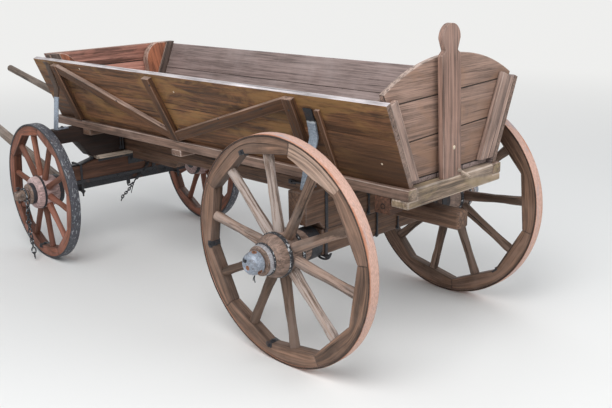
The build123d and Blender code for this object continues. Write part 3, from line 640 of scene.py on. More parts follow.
def copy_of_node(node):
    """A merged copy of a CAD node's mesh with flat faces joined."""
    obj = only(linked(node + "_copy", NODES[node].data.copy()))
    bpy.ops.object.mode_set(mode="EDIT")
    bpy.ops.mesh.select_all(action="SELECT")
    bpy.ops.mesh.remove_doubles(threshold=2 * MERGE)
    bpy.ops.mesh.dissolve_limited(angle_limit=math.radians(0.6))
    bpy.ops.object.mode_set(mode="OBJECT")
    return obj


def leaning(way, over, above=-1.0):
    """Test that passes faces whose normal leans along a way by more than a share, above a height."""
    way = Vector(way)
    return lambda middle, normal: normal.dot(way) > over and middle.z > above


def is_end(_, normal):
    """Test that passes faces at a plank's front or rear end."""
    return abs(normal.x) > 0.9


def paint(obj, areas, first=0):
    """Give those faces of the first finish that pass a test of (middle, normal) a finish of their own."""
    for finish, test in areas:
        obj.data.materials.append(FINISHES[finish])
        number = len(obj.data.materials) - 1
        for polygon in obj.data.polygons:
            if polygon.material_index == first and test(polygon.center, polygon.normal):
                polygon.material_index = number


def dress(
    node, bevel=None, segments=2, along=None, wheel=None, angle=30, finishes=None, faces=(), edges=(),
    tints=None,
):
    """A CAD node's own form with worn, rounded edges, which stands for it; on the felloes the darker edges are
    painted shade.
    """
    obj = copy_of_node(node)
    obj.data.materials.clear()
    for finish in finishes or SLOT_FINISH[NODE_SLOT[node]]:
        obj.data.materials.append(FINISHES[finish])
    for polygon in obj.data.polygons:
        polygon.material_index = 0
    paint(obj, faces)
    apply_modifier(
        obj, "BEVEL", width=bevel or bpy.context.scene.wagon_sizes.edge_wear, segments=segments,
        limit_method="ANGLE", angle_limit=math.radians(angle), material=1,
        use_clamp_overlap=True, loop_slide=True,
    )
    paint(obj, edges, first=1)
    apply_modifier(obj, "TRIANGULATE", min_vertices=5)
    smooth(obj)
    lay_grain(obj, along, wheel, tints)
    return finish_piece(obj, node + "_worn", NODE_BODY[node], None, (node,))


def close_up(fill):
    """In edit mode: merge doubles, fill open ends if asked, turn all faces outwards, and leave edit mode."""
    bpy.ops.mesh.select_all(action="SELECT")
    bpy.ops.mesh.remove_doubles(threshold=MERGE)
    if fill:
        bpy.ops.mesh.fill_holes(sides=0)
    bpy.ops.mesh.select_all(action="SELECT")
    bpy.ops.mesh.normals_make_consistent(inside=False)
    bpy.ops.object.mode_set(mode="OBJECT")


def turned(profile, segments, closed):
    """A ring or boss turned about z: a circle extruded and scaled along its profile of (radius, z)."""
    radius, z = profile[0]
    circle = {"vertices": segments, "radius": radius, "fill_type": "NOTHING", "location": (0, 0, z)}
    obj = settle(fresh(bpy.ops.mesh.primitive_circle_add, **circle))
    bpy.ops.object.mode_set(mode="EDIT")
    bpy.ops.mesh.select_mode(type="EDGE")
    bpy.ops.mesh.select_all(action="SELECT")
    for next_radius, next_z in (*profile[1:], *((profile[0],) if closed else ())):
        bpy.ops.mesh.extrude_region_move(TRANSFORM_OT_translate={"value": (0, 0, next_z - z)})
        factor = next_radius / radius
        bpy.ops.transform.resize(value=(factor, factor, 1), center_override=(0, 0, next_z))
        radius, z = next_radius, next_z
    close_up(fill=not closed)
    return obj


def block(size, matrix, bevel=0.0015):
    """A forged or sawn block: a cube scaled, placed and rounded at its edges."""
    obj = fresh(bpy.ops.mesh.primitive_cube_add, size=1)
    obj.data.transform(Matrix.Diagonal((*size, 1)))
    apply_modifier(obj, "BEVEL", width=bevel, segments=2, limit_method="NONE")
    settle(obj, matrix)
    smooth(obj)
    return obj


def bolt(radius, height, sides, place=None):
    """A bolt's head with its washer, standing on its place's z = 0."""
    cylinder = bpy.ops.mesh.primitive_cylinder_add
    thin, low, middle = height * 0.3, (0, 0, height * 0.1), (0, 0, height * 0.5)
    washer = settle(fresh(cylinder, vertices=20, radius=radius * 1.5, depth=thin, location=low))
    head = settle(fresh(cylinder, vertices=sides, radius=radius, depth=height, location=middle))
    round_edges(head, radius * 0.18, 0.5)
    obj = join([head, washer], "bolt")
    smooth(obj)
    return settle(obj, place)


def torus(radius, wire, place=None, around=20):
    """A ring of round wire in its place's xy plane."""
    add = bpy.ops.mesh.primitive_torus_add
    ring = fresh(add, major_radius=radius, minor_radius=wire, major_segments=around, minor_segments=8)
    return settle(ring, place)


def facing(point, normal, spin=0.0):
    """Matrix that puts z = 0 at a point with z along the normal."""
    turn = Vector(normal).normalized().to_track_quat("Z", "Y").to_matrix().to_4x4()
    return Matrix.Translation(point) @ turn @ Matrix.Rotation(spin, 4, "Z")


def upright(across, off, point=(0, 0, 0)):
    """Matrix of an upright plane through a point: its x across, its y up and its z off it."""
    return at(*point) @ Matrix((across, UP, off)).transposed().to_4x4()


def at(x, y, z):
    """Matrix that moves to a point."""
    return Matrix.Translation((x, y, z))


def spun(degrees, axis):
    """Matrix that turns about an axis."""
    return Matrix.Rotation(math.radians(degrees), 4, axis)


def bolts(name, spots, body, radius, height, sides, finish="black_iron"):
    """Bolt heads at (point, normal) spots, in one piece."""
    model = bolt(radius, height, sides)
    copies = [twin(model, facing(point, normal, 0.6 * i)) for i, (point, normal) in enumerate(spots)]
    bpy.data.objects.remove(model)
    return finish_piece(join(copies, name), name, body, (finish,))


def bent_line(points, radius, kind, flat=False):
    """A curve along points as a curve object, round, or flat in its own plane."""
    curve = bpy.data.curves.new("bent_line", "CURVE")
    curve.dimensions = "2D" if flat else "3D"
    curve.bevel_depth = radius
    curve.bevel_resolution = 1 if flat else 3
    curve.use_fill_caps = True
    spline = curve.splines.new(kind)
    spline.points.add(len(points) - 1)
    for target, point in zip(spline.points, points):
        target.co = (*point, 0, 1)[:4] if flat else (*point, 1)
    if kind == "NURBS":
        spline.order_u = 3
        spline.use_endpoint_u = True
        spline.resolution_u = 6
    return linked("bent_line", curve)


def rod(points, radius, kind="POLY"):
    """A round iron bent along points, as a mesh."""
    obj = only(bent_line(points, radius, kind))
    bpy.ops.object.convert(target="MESH")
    smooth(obj, 50)
    return obj


def strap(route, width, thickness, matrix, kind="POLY"):
    """A flat iron bent along a route in the matrix's xy plane, its width along the matrix's z, as a mesh."""
    obj = bent_line(route, thickness / 2, kind, flat=True)
    obj.data.extrude = (width - thickness) / 2
    obj.data.fill_mode = "NONE"
    only(obj)
    bpy.ops.object.convert(target="MESH")
    bpy.ops.object.mode_set(mode="EDIT")
    close_up(fill=True)
    settle(obj, matrix)
    smooth(obj, 40)
    return obj


def chain(points, pitch, wire, matrix=None):
    """Welded links threaded along straight runs, each link turned a quarter from the last."""
    unit, squeeze, lean = 0.1, 0.62, 0.5
    link = torus(1, unit, around=16)
    half = pitch / 2 + wire
    for vertex in link.data.vertices:
        flat = Vector((vertex.co.x, vertex.co.y, 0))
        ring = flat.normalized()
        off = (flat.length - 1) / unit * wire
        thick = vertex.co.z / unit * wire
        vertex.co = Vector((ring.x * (half + off), ring.y * (half * squeeze + off), thick))
    links = []
    spare = 0.0
    for start, end in zip(points, points[1:]):
        way = Vector(end) - Vector(start)
        place = spare
        while place < way.length:
            turn = way.to_track_quat("X", "Z").to_matrix().to_4x4()
            spin = Matrix.Rotation(math.radians(90) * (len(links) % 2) + lean, 4, "X")
            seat = Matrix.Translation(Vector(start) + way.normalized() * place)
            links.append(twin(link, seat @ turn @ spin))
            place += pitch
        spare = place - way.length
    bpy.data.objects.remove(link)
    return [settle(copy, matrix) for copy in links]


def ironwork(name, pieces, body, finish="black_iron"):
    """Join irons into one named piece."""
    obj = join(pieces, name)
    smooth(obj, 40)
    return finish_piece(obj, name, body, (finish,))


def woodwork(name, pieces, finish):
    """Join small wooden pieces of the frame into one named piece."""
    obj = join(pieces, name)
    lay_grain(obj)
    return finish_piece(obj, name, "wagon", (finish,))


class WAGON_OT_box(bpy.types.Operator):
    """Floor, flared side planks, their braces and nails"""

    bl_idname = "wagon.box"
    bl_label = "Box planks"

    def execute(self, context):
        nail = context.scene.wagon_sizes.nail_radius
        dress("floor", finishes=("inner_wood", "inner_seam"))
        for side_name, side in SIDES:
            inwards = (0, -side, 0)
            faces = [("inner_wood", leaning(inwards, 0.5)), ("side_end", is_end)]
            seam = ("inner_seam", leaning(inwards, 0.05))
            dress(f"side_{side_name}_lower", 0.0015, along=AHEAD, faces=faces, edges=[seam])
            dress(
                f"side_{side_name}_upper", 0.0018, along=AHEAD,
                faces=[*faces, ("side_top", leaning(UP, 0.7))],
                edges=[("side_top", leaning(UP, 0.15, above=1.15)), ("side_end", is_end), seam],
            )
            dress(
                f"braces_{side_name}", 0.003, finishes=("brace_wood", "brace_edge"),
                faces=[("brace_top", leaning(UP, 0.4))], edges=[("brace_top", leaning(UP, 0.3))],
            )
            nails = []
            for share in (0.12, 0.52, 0.9):
                for foot, run in ((-0.948, 0.86), (-0.89, -0.93)):
                    nails.append(side_spot(side, foot + share * run, 0.07 + share * 0.27, 0.0271))
            for x, up in ((REAR_X + 0.09, 0.33), (FRONT_X - 0.055, 0.35), (-0.905, 0.35)):
                nails.append(side_spot(side, x, up, 0.0301))
            bolts(f"brace_nails_{side_name}", nails, "wagon", nail, 0.003, 8)
            spots = ((-2.348, 0.107), (-0.21, 0.37), (-1.05, 0.31))
            bright = [side_spot(side, x, up, 0.0005) for x, up in spots]
            bolts(f"side_nails_{side_name}", bright, "wagon", nail, 0.002, 8, "pale_metal")
        return {"FINISHED"}


def add_rear_irons():
    """Clamps round the rear bolster and axle bed with plates, nuts and winged ends, and the stays."""
    bed_face, clamp_y, foot = 0.055, 0.403, 0.462
    wings = [(-0.047, 0.035), (-0.04, 0.012), (-0.016, 0.0), (0.016, 0.0), (0.036, 0.012), (0.047, 0.032)]
    irons = []
    for side in (1, -1):
        y = side * clamp_y
        for way in (-1, 1):
            route = [(0, 0.776), (0, 0.592), (-0.005 * way, 0.586), (-0.005 * way, foot)]
            x = REAR_X + way * bed_face + way * 0.004
            irons.append(strap(route, 0.018, 0.006, upright(AHEAD, (0, -1, 0), (x, y, 0))))
        irons.append(block((0.142, 0.03, 0.006), at(REAR_X, y, 0.465)))
        irons += [bolt(0.009, 0.011, 4, facing((REAR_X + x, y, foot), DOWN, 0.3)) for x in (-0.058, 0.058)]
        seat = at(REAR_X - 0.066, side * 0.437, foot) @ spun(90, "X")
        irons.append(strap(wings, 0.014, 0.007, seat, "NURBS"))
    for y, low, high in (
        (0.118, 0.60, 0.705), (0.052, 0.474, 0.60), (-0.106, 0.474, 0.60), (-0.118, 0.60, 0.705),
    ):
        x = REAR_X - bed_face - (0.0055 if low > 0.5 else 0.0005)
        irons.append(rod([(x, y, low), (x, y, high)], 0.005))
        for z in (low + 0.004, high - 0.004):
            irons.append(bolt(0.008, 0.009, 4, facing((x + 0.004, y, z), BACK, 0.4)))
    ironwork("rear_axle_irons", irons, "wagon")
    stays = []
    line = ((0.056, 0.19, 0.72), (0.30, 0.085, 0.668), (0.52, 0.048, 0.64))
    for side in (1, -1):
        points = [(REAR_X + x, side * y, z) for x, y, z in line]
        tab = facing(points[2], (0, side, 0))
        stays += [rod(points, 0.006), block((0.05, 0.022, 0.008), tab, 0.002)]
        stays.append(bolt(0.008, 0.008, 4, tab @ at(0, 0, 0.003)))
    ironwork("reach_stays", stays, "wagon")


class WAGON_OT_underframe(bpy.types.Operator):
    """Sills, cross beams, reach, bolsters and the rear axle bed"""

    bl_idname = "wagon.underframe"
    bl_label = "Beams under the box"

    def execute(self, context):
        for node in ("sill_left", "sill_right"):
            dress(
                node, 0.004, finishes=("sill_wood", "sill_wood"), along=AHEAD,
                faces=[("beam_wood", leaning(BACK, 0.9))], edges=[("sill_edge", leaning(UP, 0.2))],
            )
        for node, bevel, segments, along, finishes in (
            ("cross_beam_rear", 0.007, 3, ACROSS, ("beam_wood", "beam_edge")),
            ("cross_beam_middle", 0.005, 2, ACROSS, ("sill_wood", "sill_edge")),
            ("cross_beam_front", 0.005, 2, ACROSS, ("frame_wood", "frame_edge")),
            ("reach", 0.006, 2, AHEAD, None),
            ("rear_bolster", 0.006, 2, ACROSS, None),
            ("rear_axle_bed", 0.006, 2, ACROSS, None),
            # the front bolster takes painted shade
            ("front_bolster", 0.006, 2, ACROSS, ("painted_shade_wood", "painted_shade_wood")),
        ):
            dress(node, bevel, segments, along, finishes=finishes)
        add_rear_irons()
        woodwork("sill_packing", [block(PACKING_SIZE, at(-2.334, 0.299, 0.7393), 0.004)], "bed_wood")
        # a black cup of painted shade in the packing's hole
        hole = settle(turned(PACKING_HOLE, 20, closed=False), facing((-2.338, 0.343, 0.735), ACROSS))
        ironwork("packing_hole_shade", [hole], "wagon", "painted_hole_shade")
        stakes = ((REAR_X, 0.452), (FRONT_X, 0.440))
        nuts = [((x, side * y, 0.7883), UP) for _, side in SIDES for x, y in stakes]
        bolts("stake_nuts", nuts, "wagon", 0.009, 0.008, 4)
        peg = rod([(-2.462, 0.0, 0.856), (-2.484, -0.03, 0.838), (-2.497, -0.062, 0.812)], 0.0065, "NURBS")
        collar = rod([(-2.470, -0.004, 0.852), (-2.478, -0.02, 0.845)], 0.009)
        woodwork("beam_peg", [peg, collar], "beam_edge")
        return {"FINISHED"}


class WAGON_OT_ends(bpy.types.Operator):
    """Tailgate with its post and battens, front board and knees"""

    bl_idname = "wagon.ends"
    bl_label = "Tailgate and front board"

    def execute(self, context):
        crown = ("tail_edge", leaning(UP, 0.3, above=1.22))
        rim = leaning(UP, 0.3)
        dress("tailgate_boards", along=ACROSS, faces=[crown], edges=[crown])
        dress(
            "tailgate_post", 0.0028, along=(0, 0.052, 1), finishes=("post_wood", "tail_edge"),
            edges=[("tail_edge", rim)], tints=lambda middle: 0.15,
        )
        for side, _ in SIDES:
            dress(
                f"gate_guides_{side}", 0.0028, finishes=("batten_wood", "tail_edge"),
                tints=lambda middle: 0.0 if middle.x < GATE_X else -0.8,
            )
        dress("front_board", along=ACROSS, edges=[crown], finishes=("red_wood", "tail_seam"))
        for side, _ in SIDES:
            dress(
                f"front_knee_{side}", 0.004, 3, angle=25, along=(0, 0.25, 1),
                finishes=("knee_wood", "knee_edge"),
                faces=[("knee_edge", lambda middle, normal: abs(normal.x) < 0.4)],
            )
            dress(
                f"front_batten_{side}", 0.004, finishes=("inner_dark", "brace_top"),
                edges=[("inner_dark", rim)],
            )
        height, lean = 0.957, math.tan(math.radians(3))
        spot = (-2.4735, 0.035 + (height - SIDE_FOOT[1]) * lean - 0.012, height)
        bolts("post_bolt", [(spot, BACK)], "tailgate", 0.006, 0.004, 8, "pale_metal")
        return {"FINISHED"}


def add_bed_irons():
    """Straps, clips, plates, bolts and the eye on the front axle bed."""
    face, clip_y = 0.0535, 0.351
    top, clip = [(0.43, 0.5385), (0.332, 0.5385), (0.25, 0.5605), (0.2445, 0.572)], [(0, 0.546), (0, 0.371)]
    irons = []
    for side in (1, -1):
        irons.append(strap(top, 0.05, 0.007, CARRIAGE @ upright((0, side, 0), AHEAD)))
        for ahead in (1, -1):
            x, y = ahead * face, side * clip_y
            irons += [
                strap(clip, 0.015, 0.006, CARRIAGE @ upright(AHEAD, ACROSS, (x, y, 0))),
                bolt(0.009, 0.014, 4, CARRIAGE @ facing((x, y, 0.376), DOWN, 0.3)),
                settle(rod([(x, y, 0.37), (x, y, 0.345)], 0.005), CARRIAGE),
            ]
        for size, z in (((0.113, 0.015, 0.005), 0.5445), ((0.122, 0.026, 0.006), 0.3775)):
            irons.append(block(size, CARRIAGE @ at(0, side * clip_y, z)))
    irons += [block(size, CARRIAGE @ at(*spot)) for size, spot in BED_PLATES]
    for y, z in ((-0.01, 0.53), (-0.10, 0.51), (-0.275, 0.53), (-0.275, 0.45), (-0.165, 0.51), (0.10, 0.437)):
        irons.append(bolt(0.008, 0.008, 6, CARRIAGE @ facing((-0.057, y, z), BACK, y * 9)))
    irons.append(torus(0.015, 0.0035, CARRIAGE @ at(-0.058, -0.12, 0.495) @ spun(80, "Y")))
    irons.append(bolt(0.008, 0.01, 6, CARRIAGE @ facing((-0.05, -0.12, 0.512), BACK)))
    ironwork("front_axle_irons", irons, "front_axle")


def add_chains(wire):
    """The hooked chain on the front axle bed, the bolster's rods and the near hub's hanging chain."""
    pitch = 0.017
    run = [(-0.062, -0.12, 0.478), (-0.050, -0.07, 0.420), (-0.032, -0.022, 0.366)]
    hook = [
        (-0.03, -0.018, 0.362), (-0.02, -0.004, 0.346), (0.0, 0.006, 0.338), (0.012, 0.0, 0.35),
        (0.006, -0.012, 0.362),
    ]
    loose = [(-0.034, -0.018, 0.358), (-0.042, 0.03, 0.318), (-0.046, 0.075, 0.288), (-0.046, 0.088, 0.262)]
    wire_end = [(-0.036, -0.02, 0.36), (-0.04, 0.0, 0.325), (-0.036, 0.006, 0.295)]
    ironwork("hook_chain", [
        *chain(run, pitch, wire, CARRIAGE), settle(rod(hook, 0.0045, "NURBS"), CARRIAGE),
        *chain(loose, pitch, wire, CARRIAGE), settle(rod(wire_end, 0.0025, "NURBS"), CARRIAGE),
    ], "front_axle")
    across = (0.075, 0.058, -0.075)
    rods = [rod([(FRONT_X - 0.060, y, 0.600), (FRONT_X - 0.060, y, 0.742)], 0.0045) for y in across]
    spots = [(FRONT_X - 0.0545, y, z) for y in across for z in (0.612, 0.73)]
    rods += [bolt(0.008, 0.009, 4, facing(spot, BACK, 0.2)) for spot in spots]
    ironwork("front_bolster_irons", rods, "wagon")
    hanging = [
        (0.108, 0.705, 0.366), (0.112, 0.708, 0.30), (0.118, 0.706, 0.2), (0.112, 0.70, 0.1),
        (0.10, 0.70, 0.03),
    ]
    loop = wheel_place("front_left") @ at(0, 0, 0.124)
    drag = [*chain(hanging, 0.030, 0.0042), torus(0.039, 0.006, loop, 28)]
    ironwork("hub_chain", drag, "front_axle", "flecked_iron")


class WAGON_OT_front_carriage(bpy.types.Operator):
    """Wear plate, front axle bed and bar, brackets, shafts and stakes"""

    bl_idname = "wagon.front_carriage"
    bl_label = "Front carriage"

    def execute(self, context):
        along_bed = tuple(CARRIAGE.col[1][:3])
        dress("wear_plate", 0.005, 3, along_bed, finishes=("plate_wood", "plate_wood"))
        dress("front_axle_bed", 0.006, along=along_bed, finishes=("bed_wood", "bed_wood"))
        for node in ("front_axle_bar", "shaft_brackets", "king_pin"):
            dress(node, 0.002)
        for node in ("shaft_left", "shaft_right"):
            dress(node, 0.003, angle=20)
        for stake in ("rear_stake", "front_stake"):
            dress(stake + "s", 0.0025, finishes=(stake, stake))
        add_bed_irons()
        add_chains(context.scene.wagon_sizes.link_wire)
        return {"FINISHED"}


WHEELS = {
    # wheel: radius, felloe depth, first spoke's angle
    "rear_left": (0.525, 0.086, 25.2),
    "rear_right": (0.525, 0.086, 30.3),
    "front_left": (0.413, 0.070, 26.0),
    "front_right": (0.413, 0.070, 10.8),
}
SPOKE_WIDTHS = {
    # axle: widths across and along the axle, as (share of the length, width) from the nave to the felloe
    "rear": (
        (0.0, 0.052), (0.1, 0.053), (0.22, 0.051), (0.36, 0.047), (0.52, 0.044), (0.68, 0.043), (0.82, 0.045),
        (0.93, 0.048), (1.0, 0.048),
    ),
    "front": (
        (0.0, 0.041), (0.12, 0.041), (0.3, 0.037), (0.55, 0.034), (0.8, 0.035), (0.93, 0.037), (1.0, 0.037),
    ),
}
SPOKE_TINTS = {
    # wheel: how pale or dark each spoke is, from the first one round; on the rear left wheel partly each spoke's
    # own weathering and partly painted light and shade, on the right wheels painted shade
    "rear_left": (-0.6, -1.0, -0.9, 1.1, 0.4, -0.2, -0.4, 1.6, 1.5, 0.5),
    "rear_right": (-0.7, -0.6, -0.4, -0.6, -0.5, -0.7, -0.6, -0.4, -0.6, -0.5),
    "front_left": (-0.5, -0.7, -0.8, 0.1, -0.5, -0.8, -0.6, 0.0, -0.7, -0.5),
    "front_right": (-0.6, -0.8, -0.5, -0.7, -0.8, -0.6, -0.8, -0.5, -0.6, -0.8),
}
CLIP_ANGLES = {
    # wheel: where its felloe clips sit, in degrees
    "rear_left": (7.2, 79.2, 295.2), "rear_right": (84.3, 228.3), "front_left": (80.0,), "front_right": (),
}
NAVES = {
    # axle: profile of the nave, then bands as (finish, profile), each point as (radius, distance outwards)
    "rear": (
        ((0.0271, -0.18), (0.066, -0.18), (0.0735, -0.177), (0.0735, -0.11), (0.078, -0.074), (0.090, -0.056),
         (0.0972, -0.042), (0.098, 0.0), (0.0978, 0.048), (0.0950, 0.066), (0.0885, 0.083), (0.0800, 0.097),
         (0.0745, 0.103), (0.0672, 0.104), (0.066, 0.138), (0.060, 0.140), (0.0271, 0.140)),
        (("black_iron", ((0.060, -0.1785), (0.0752, -0.1785), (0.0752, -0.112), (0.060, -0.112))),
         ("flecked_iron", ((0.094, 0.028), (0.1022, 0.029), (0.1022, 0.047), (0.094, 0.048))),
         ("flecked_iron", ((0.094, -0.046), (0.1022, -0.045), (0.1022, -0.029), (0.094, -0.028))),
         ("flecked_iron", ((0.060, 0.1035), (0.0742, 0.1042), (0.0735, 0.1115), (0.060, 0.112))),
         ("ring_iron", ((0.060, 0.111), (0.0695, 0.112), (0.0680, 0.132), (0.060, 0.133))),
         ("worn_rust", ((0.035, 0.131), (0.0655, 0.1325), (0.0630, 0.1398), (0.035, 0.1398)))),
    ),
    "front": (
        ((0.0271, -0.096), (0.084, -0.096), (0.088, -0.060), (0.096, -0.045), (0.098, -0.03), (0.098, 0.035),
         (0.096, 0.055), (0.090, 0.0655), (0.0605, 0.067), (0.0600, 0.098), (0.0271, 0.1)),
        (("black_iron", ((0.090, 0.021), (0.1022, 0.022), (0.1022, 0.034), (0.090, 0.035))),
         ("black_iron", ((0.070, -0.0945), (0.0893, -0.0945), (0.0893, -0.068), (0.070, -0.068))),
         ("black_iron", ((0.050, 0.066), (0.0642, 0.066), (0.0632, 0.090), (0.050, 0.090))),
         ("worn_rust", ((0.035, 0.089), (0.0618, 0.0895), (0.0605, 0.0996), (0.035, 0.0996)))),
    ),
}


def spoke_model(inner, outer, widths):
    """One spoke along x: a twelve-sided bar cut at stations and drawn in to its shaved waist."""
    length = outer - inner
    obj = fresh(bpy.ops.mesh.primitive_cylinder_add, vertices=12, radius=0.5, depth=length)
    settle(obj, at((inner + outer) / 2, 0, 0) @ spun(90, "Y") @ spun(15, "Z"))
    bpy.ops.object.mode_set(mode="EDIT")
    for share, _ in widths[1:-1]:
        bpy.ops.mesh.select_all(action="SELECT")
        bpy.ops.mesh.bisect(plane_co=(inner + length * share, 0, 0), plane_no=AHEAD)
    bpy.ops.object.mode_set(mode="OBJECT")
    by_share = dict(widths)
    for vertex in obj.data.vertices:
        width = by_share[round((vertex.co.x - inner) / length, 2)]
        vertex.co.y *= width
        vertex.co.z *= width
    smooth(obj, 45)
    return obj


def hoop(profile, bevel, place):
    """A turned ring with rounded edges in its wheel's place."""
    obj = turned(profile, 48, closed=True)
    round_edges(obj, bevel, math.radians(25))
    settle(obj, place)
    smooth(obj)
    return obj


def add_nave(wheel, axle, place, body):
    """The turned nave with its hoops."""
    profile, bands = NAVES[axle]
    nave = hoop(profile, 0.0015, place)
    lay_grain(nave, along=tuple(place.col[2][:3]), tints=lambda middle: -0.1)
    look = "nave_wood" if axle == "rear" else "nave_paint"
    finish_piece(nave, f"nave_{wheel}", body, (look,), (f"nave_spokes_{wheel}",))
    for number, (finish, ring) in enumerate(bands, 1):
        finish_piece(hoop(ring, 0.0012, place), f"nave_band_{wheel}_{number}", body, (finish,))


def add_clips(wheel, place, body, radius, depth):
    """Small iron clips with a bolt on the felloes' inner edge."""
    clips = []
    corner = (radius - depth) / math.cos(math.radians(SPOKE_STEP / 2))
    for angle in CLIP_ANGLES[wheel]:
        spin = place @ spun(angle, "Z")
        clips += [
            block((0.010, 0.036, 0.058), spin @ at(corner + 0.001, 0, 0.0), 0.002),
            block((0.020, 0.034, 0.004), spin @ at(corner + 0.006, 0, 0.0285)),
            bolt(0.0075, 0.007, 8, spin @ at(corner + 0.006, 0, 0.0300)),
            bolt(0.009, 0.008, 6, spin @ facing((corner - 0.004, 0, 0.0), BACK)),
        ]
    if clips:
        ironwork(f"felloe_clips_{wheel}", clips, body)


def add_repair(place, body):
    """The paler felloe let in at the rear left wheel's upper right, thicker than its neighbours."""
    start, sweep = math.radians(223.6), math.radians(35.2)
    inner, outer, half = 0.440, 0.5155, 0.0288
    inner_edge = (
        # share of the sweep, radius of the inner edge there
        (0.0, 0.477), (0.1, 0.462), (0.25, 0.448), (0.45, 0.4345), (0.7, 0.4375), (0.88, 0.446),
        (1.0, 0.4515),
    )
    obj = fresh(bpy.ops.mesh.primitive_plane_add, size=1)
    stand = Matrix.Rotation(start, 4, "Z") @ at((inner + outer) / 2, 0, 0)
    size = Matrix.Diagonal((outer - inner, 2 * half, 1, 1))
    settle(obj, stand @ spun(90, "X") @ size)
    bpy.ops.object.mode_set(mode="EDIT")
    bpy.ops.mesh.select_all(action="SELECT")
    bpy.ops.mesh.spin(steps=16, angle=-sweep, center=(0, 0, 0), axis=UP, dupli=False)
    close_up(fill=False)
    lowest = min(math.atan2(v.co.y, v.co.x) % (2 * math.pi) for v in obj.data.vertices)
    obj.data.transform(Matrix.Rotation(start - lowest, 4, "Z"))
    for vertex in obj.data.vertices:
        share = (math.atan2(vertex.co.y, vertex.co.x) % (2 * math.pi) - start) / sweep
        radius = math.hypot(vertex.co.x, vertex.co.y)
        if radius < (inner + outer) / 2:
            wanted = float(np.interp(share, *zip(*inner_edge)))
            vertex.co.x *= wanted / radius
            vertex.co.y *= wanted / radius
    round_edges(obj, 0.004, math.radians(40))
    settle(obj, place)
    smooth(obj, 40)
    lay_grain(obj, wheel=place, tints=lambda middle: 0.2)
    finish_piece(obj, "repair_felloe", body, ("wheel_repair",))


def add_wheel(wheel):
    """Nave, spokes, felloes and tyre of one wheel."""
    radius, depth, first = WHEELS[wheel]
    axle, side = wheel.split("_")
    rear = axle == "rear"
    place = wheel_place(wheel)
    to_wheel = place.inverted()
    hub, out = place.translation, place.col[2].to_3d()
    body = f"wheel_{wheel}"

    def from_hub(middle, normal):
        return normal.dot((middle - hub).normalized())

    shadow = -0.1 if side == "right" else 0.0
    # the felloes' faces towards the hub take painted shade
    inner = "wheel_inner_shade" if rear else "paint_inner_shade"
    dress(
        f"felloes_{wheel}", 0.003, wheel=place,
        faces=[(inner, lambda middle, normal: from_hub(middle, normal) < -0.5)],
        tints=lambda middle: shadow + 0.12 * math.sin(17 * middle.x + 11 * middle.z),
    )
    flank = "tyre_side" if rear else "black_iron"
    tyre = dress(
        f"tyre_{wheel}", 0.0016, wheel=place,
        finishes=("rusty_iron", "dark_rust") if rear else ("tyre_black", "black_iron"),
        faces=[(flank, lambda middle, normal: abs(normal.dot(out)) > 0.9)],
        edges=[(flank, lambda middle, normal: from_hub(middle, normal) < 0.2)],
    )
    axial = [(to_wheel @ v.co).z / TYRE_HALF for v in tyre.data.vertices]
    tyre.data.attributes["tint"].data.foreach_set("value", axial)
    model = spoke_model(NAVE_RADIUS - SPOKE_FOOT, radius - depth - SPOKE_GAP, SPOKE_WIDTHS[axle])
    luck = np.random.default_rng(len(wheel) + int(first * 10))
    spokes = []
    for index in range(SPOKES):
        spoke = twin(model, Matrix.Identity(4))
        hewn = {}
        for vertex in spoke.data.vertices:
            station = round(vertex.co.x, 3)
            if station not in hewn:
                hewn[station] = luck.uniform(*HEWN)
            across, deep, off = hewn[station]
            vertex.co.y = vertex.co.y * across + off
            vertex.co.z *= deep
        spoke.data.transform(place @ spun(first + SPOKE_STEP * index, "Z"))
        spokes.append(spoke)
    bpy.data.objects.remove(model)
    spokes = join(spokes, f"spokes_{wheel}")

    def spoke_tint(middle):
        local = to_wheel @ middle
        angle = math.degrees(math.atan2(local.y, local.x))
        return SPOKE_TINTS[wheel][round((angle - first) / SPOKE_STEP) % SPOKES]

    lay_grain(spokes, tints=spoke_tint)
    finish_piece(spokes, f"spokes_{wheel}", body, ("spoke_wood" if rear else "wheel_paint",))
    add_nave(wheel, axle, place, body)
    add_clips(wheel, place, body, radius, depth)
    if wheel == "rear_left":
        add_repair(place, body)


CAPS = {
    # axle: body, cap's finish, profiles of the arm in the nave and of the cap, as (radius, distance outwards)
    "rear": (
        "wagon", "cap_iron",
        ((0.0006, -0.2298), (0.044, -0.2298), (0.044, -0.181), (0.0268, -0.1808), (0.0268, 0.1435),
         (0.0006, 0.1435)),
        ((0.0006, 0.1435), (0.046, 0.1440), (0.0505, 0.1475), (0.0515, 0.158), (0.0510, 0.170),
         (0.0485, 0.182), (0.0430, 0.193), (0.0355, 0.200), (0.0300, 0.2035), (0.0275, 0.2035),
         (0.0255, 0.2005), (0.0006, 0.1995)),
    ),
    "front": (
        "front_axle", "worn_rust",
        ((0.0006, -0.0975), (0.044, -0.0975), (0.044, -0.0972), (0.0268, -0.097), (0.0268, 0.104),
         (0.0006, 0.104)),
        ((0.0006, 0.1045), (0.030, 0.1048), (0.0315, 0.107), (0.0315, 0.150), (0.0300, 0.168),
         (0.0265, 0.178), (0.0200, 0.1812), (0.0006, 0.1815)),
    ),
}


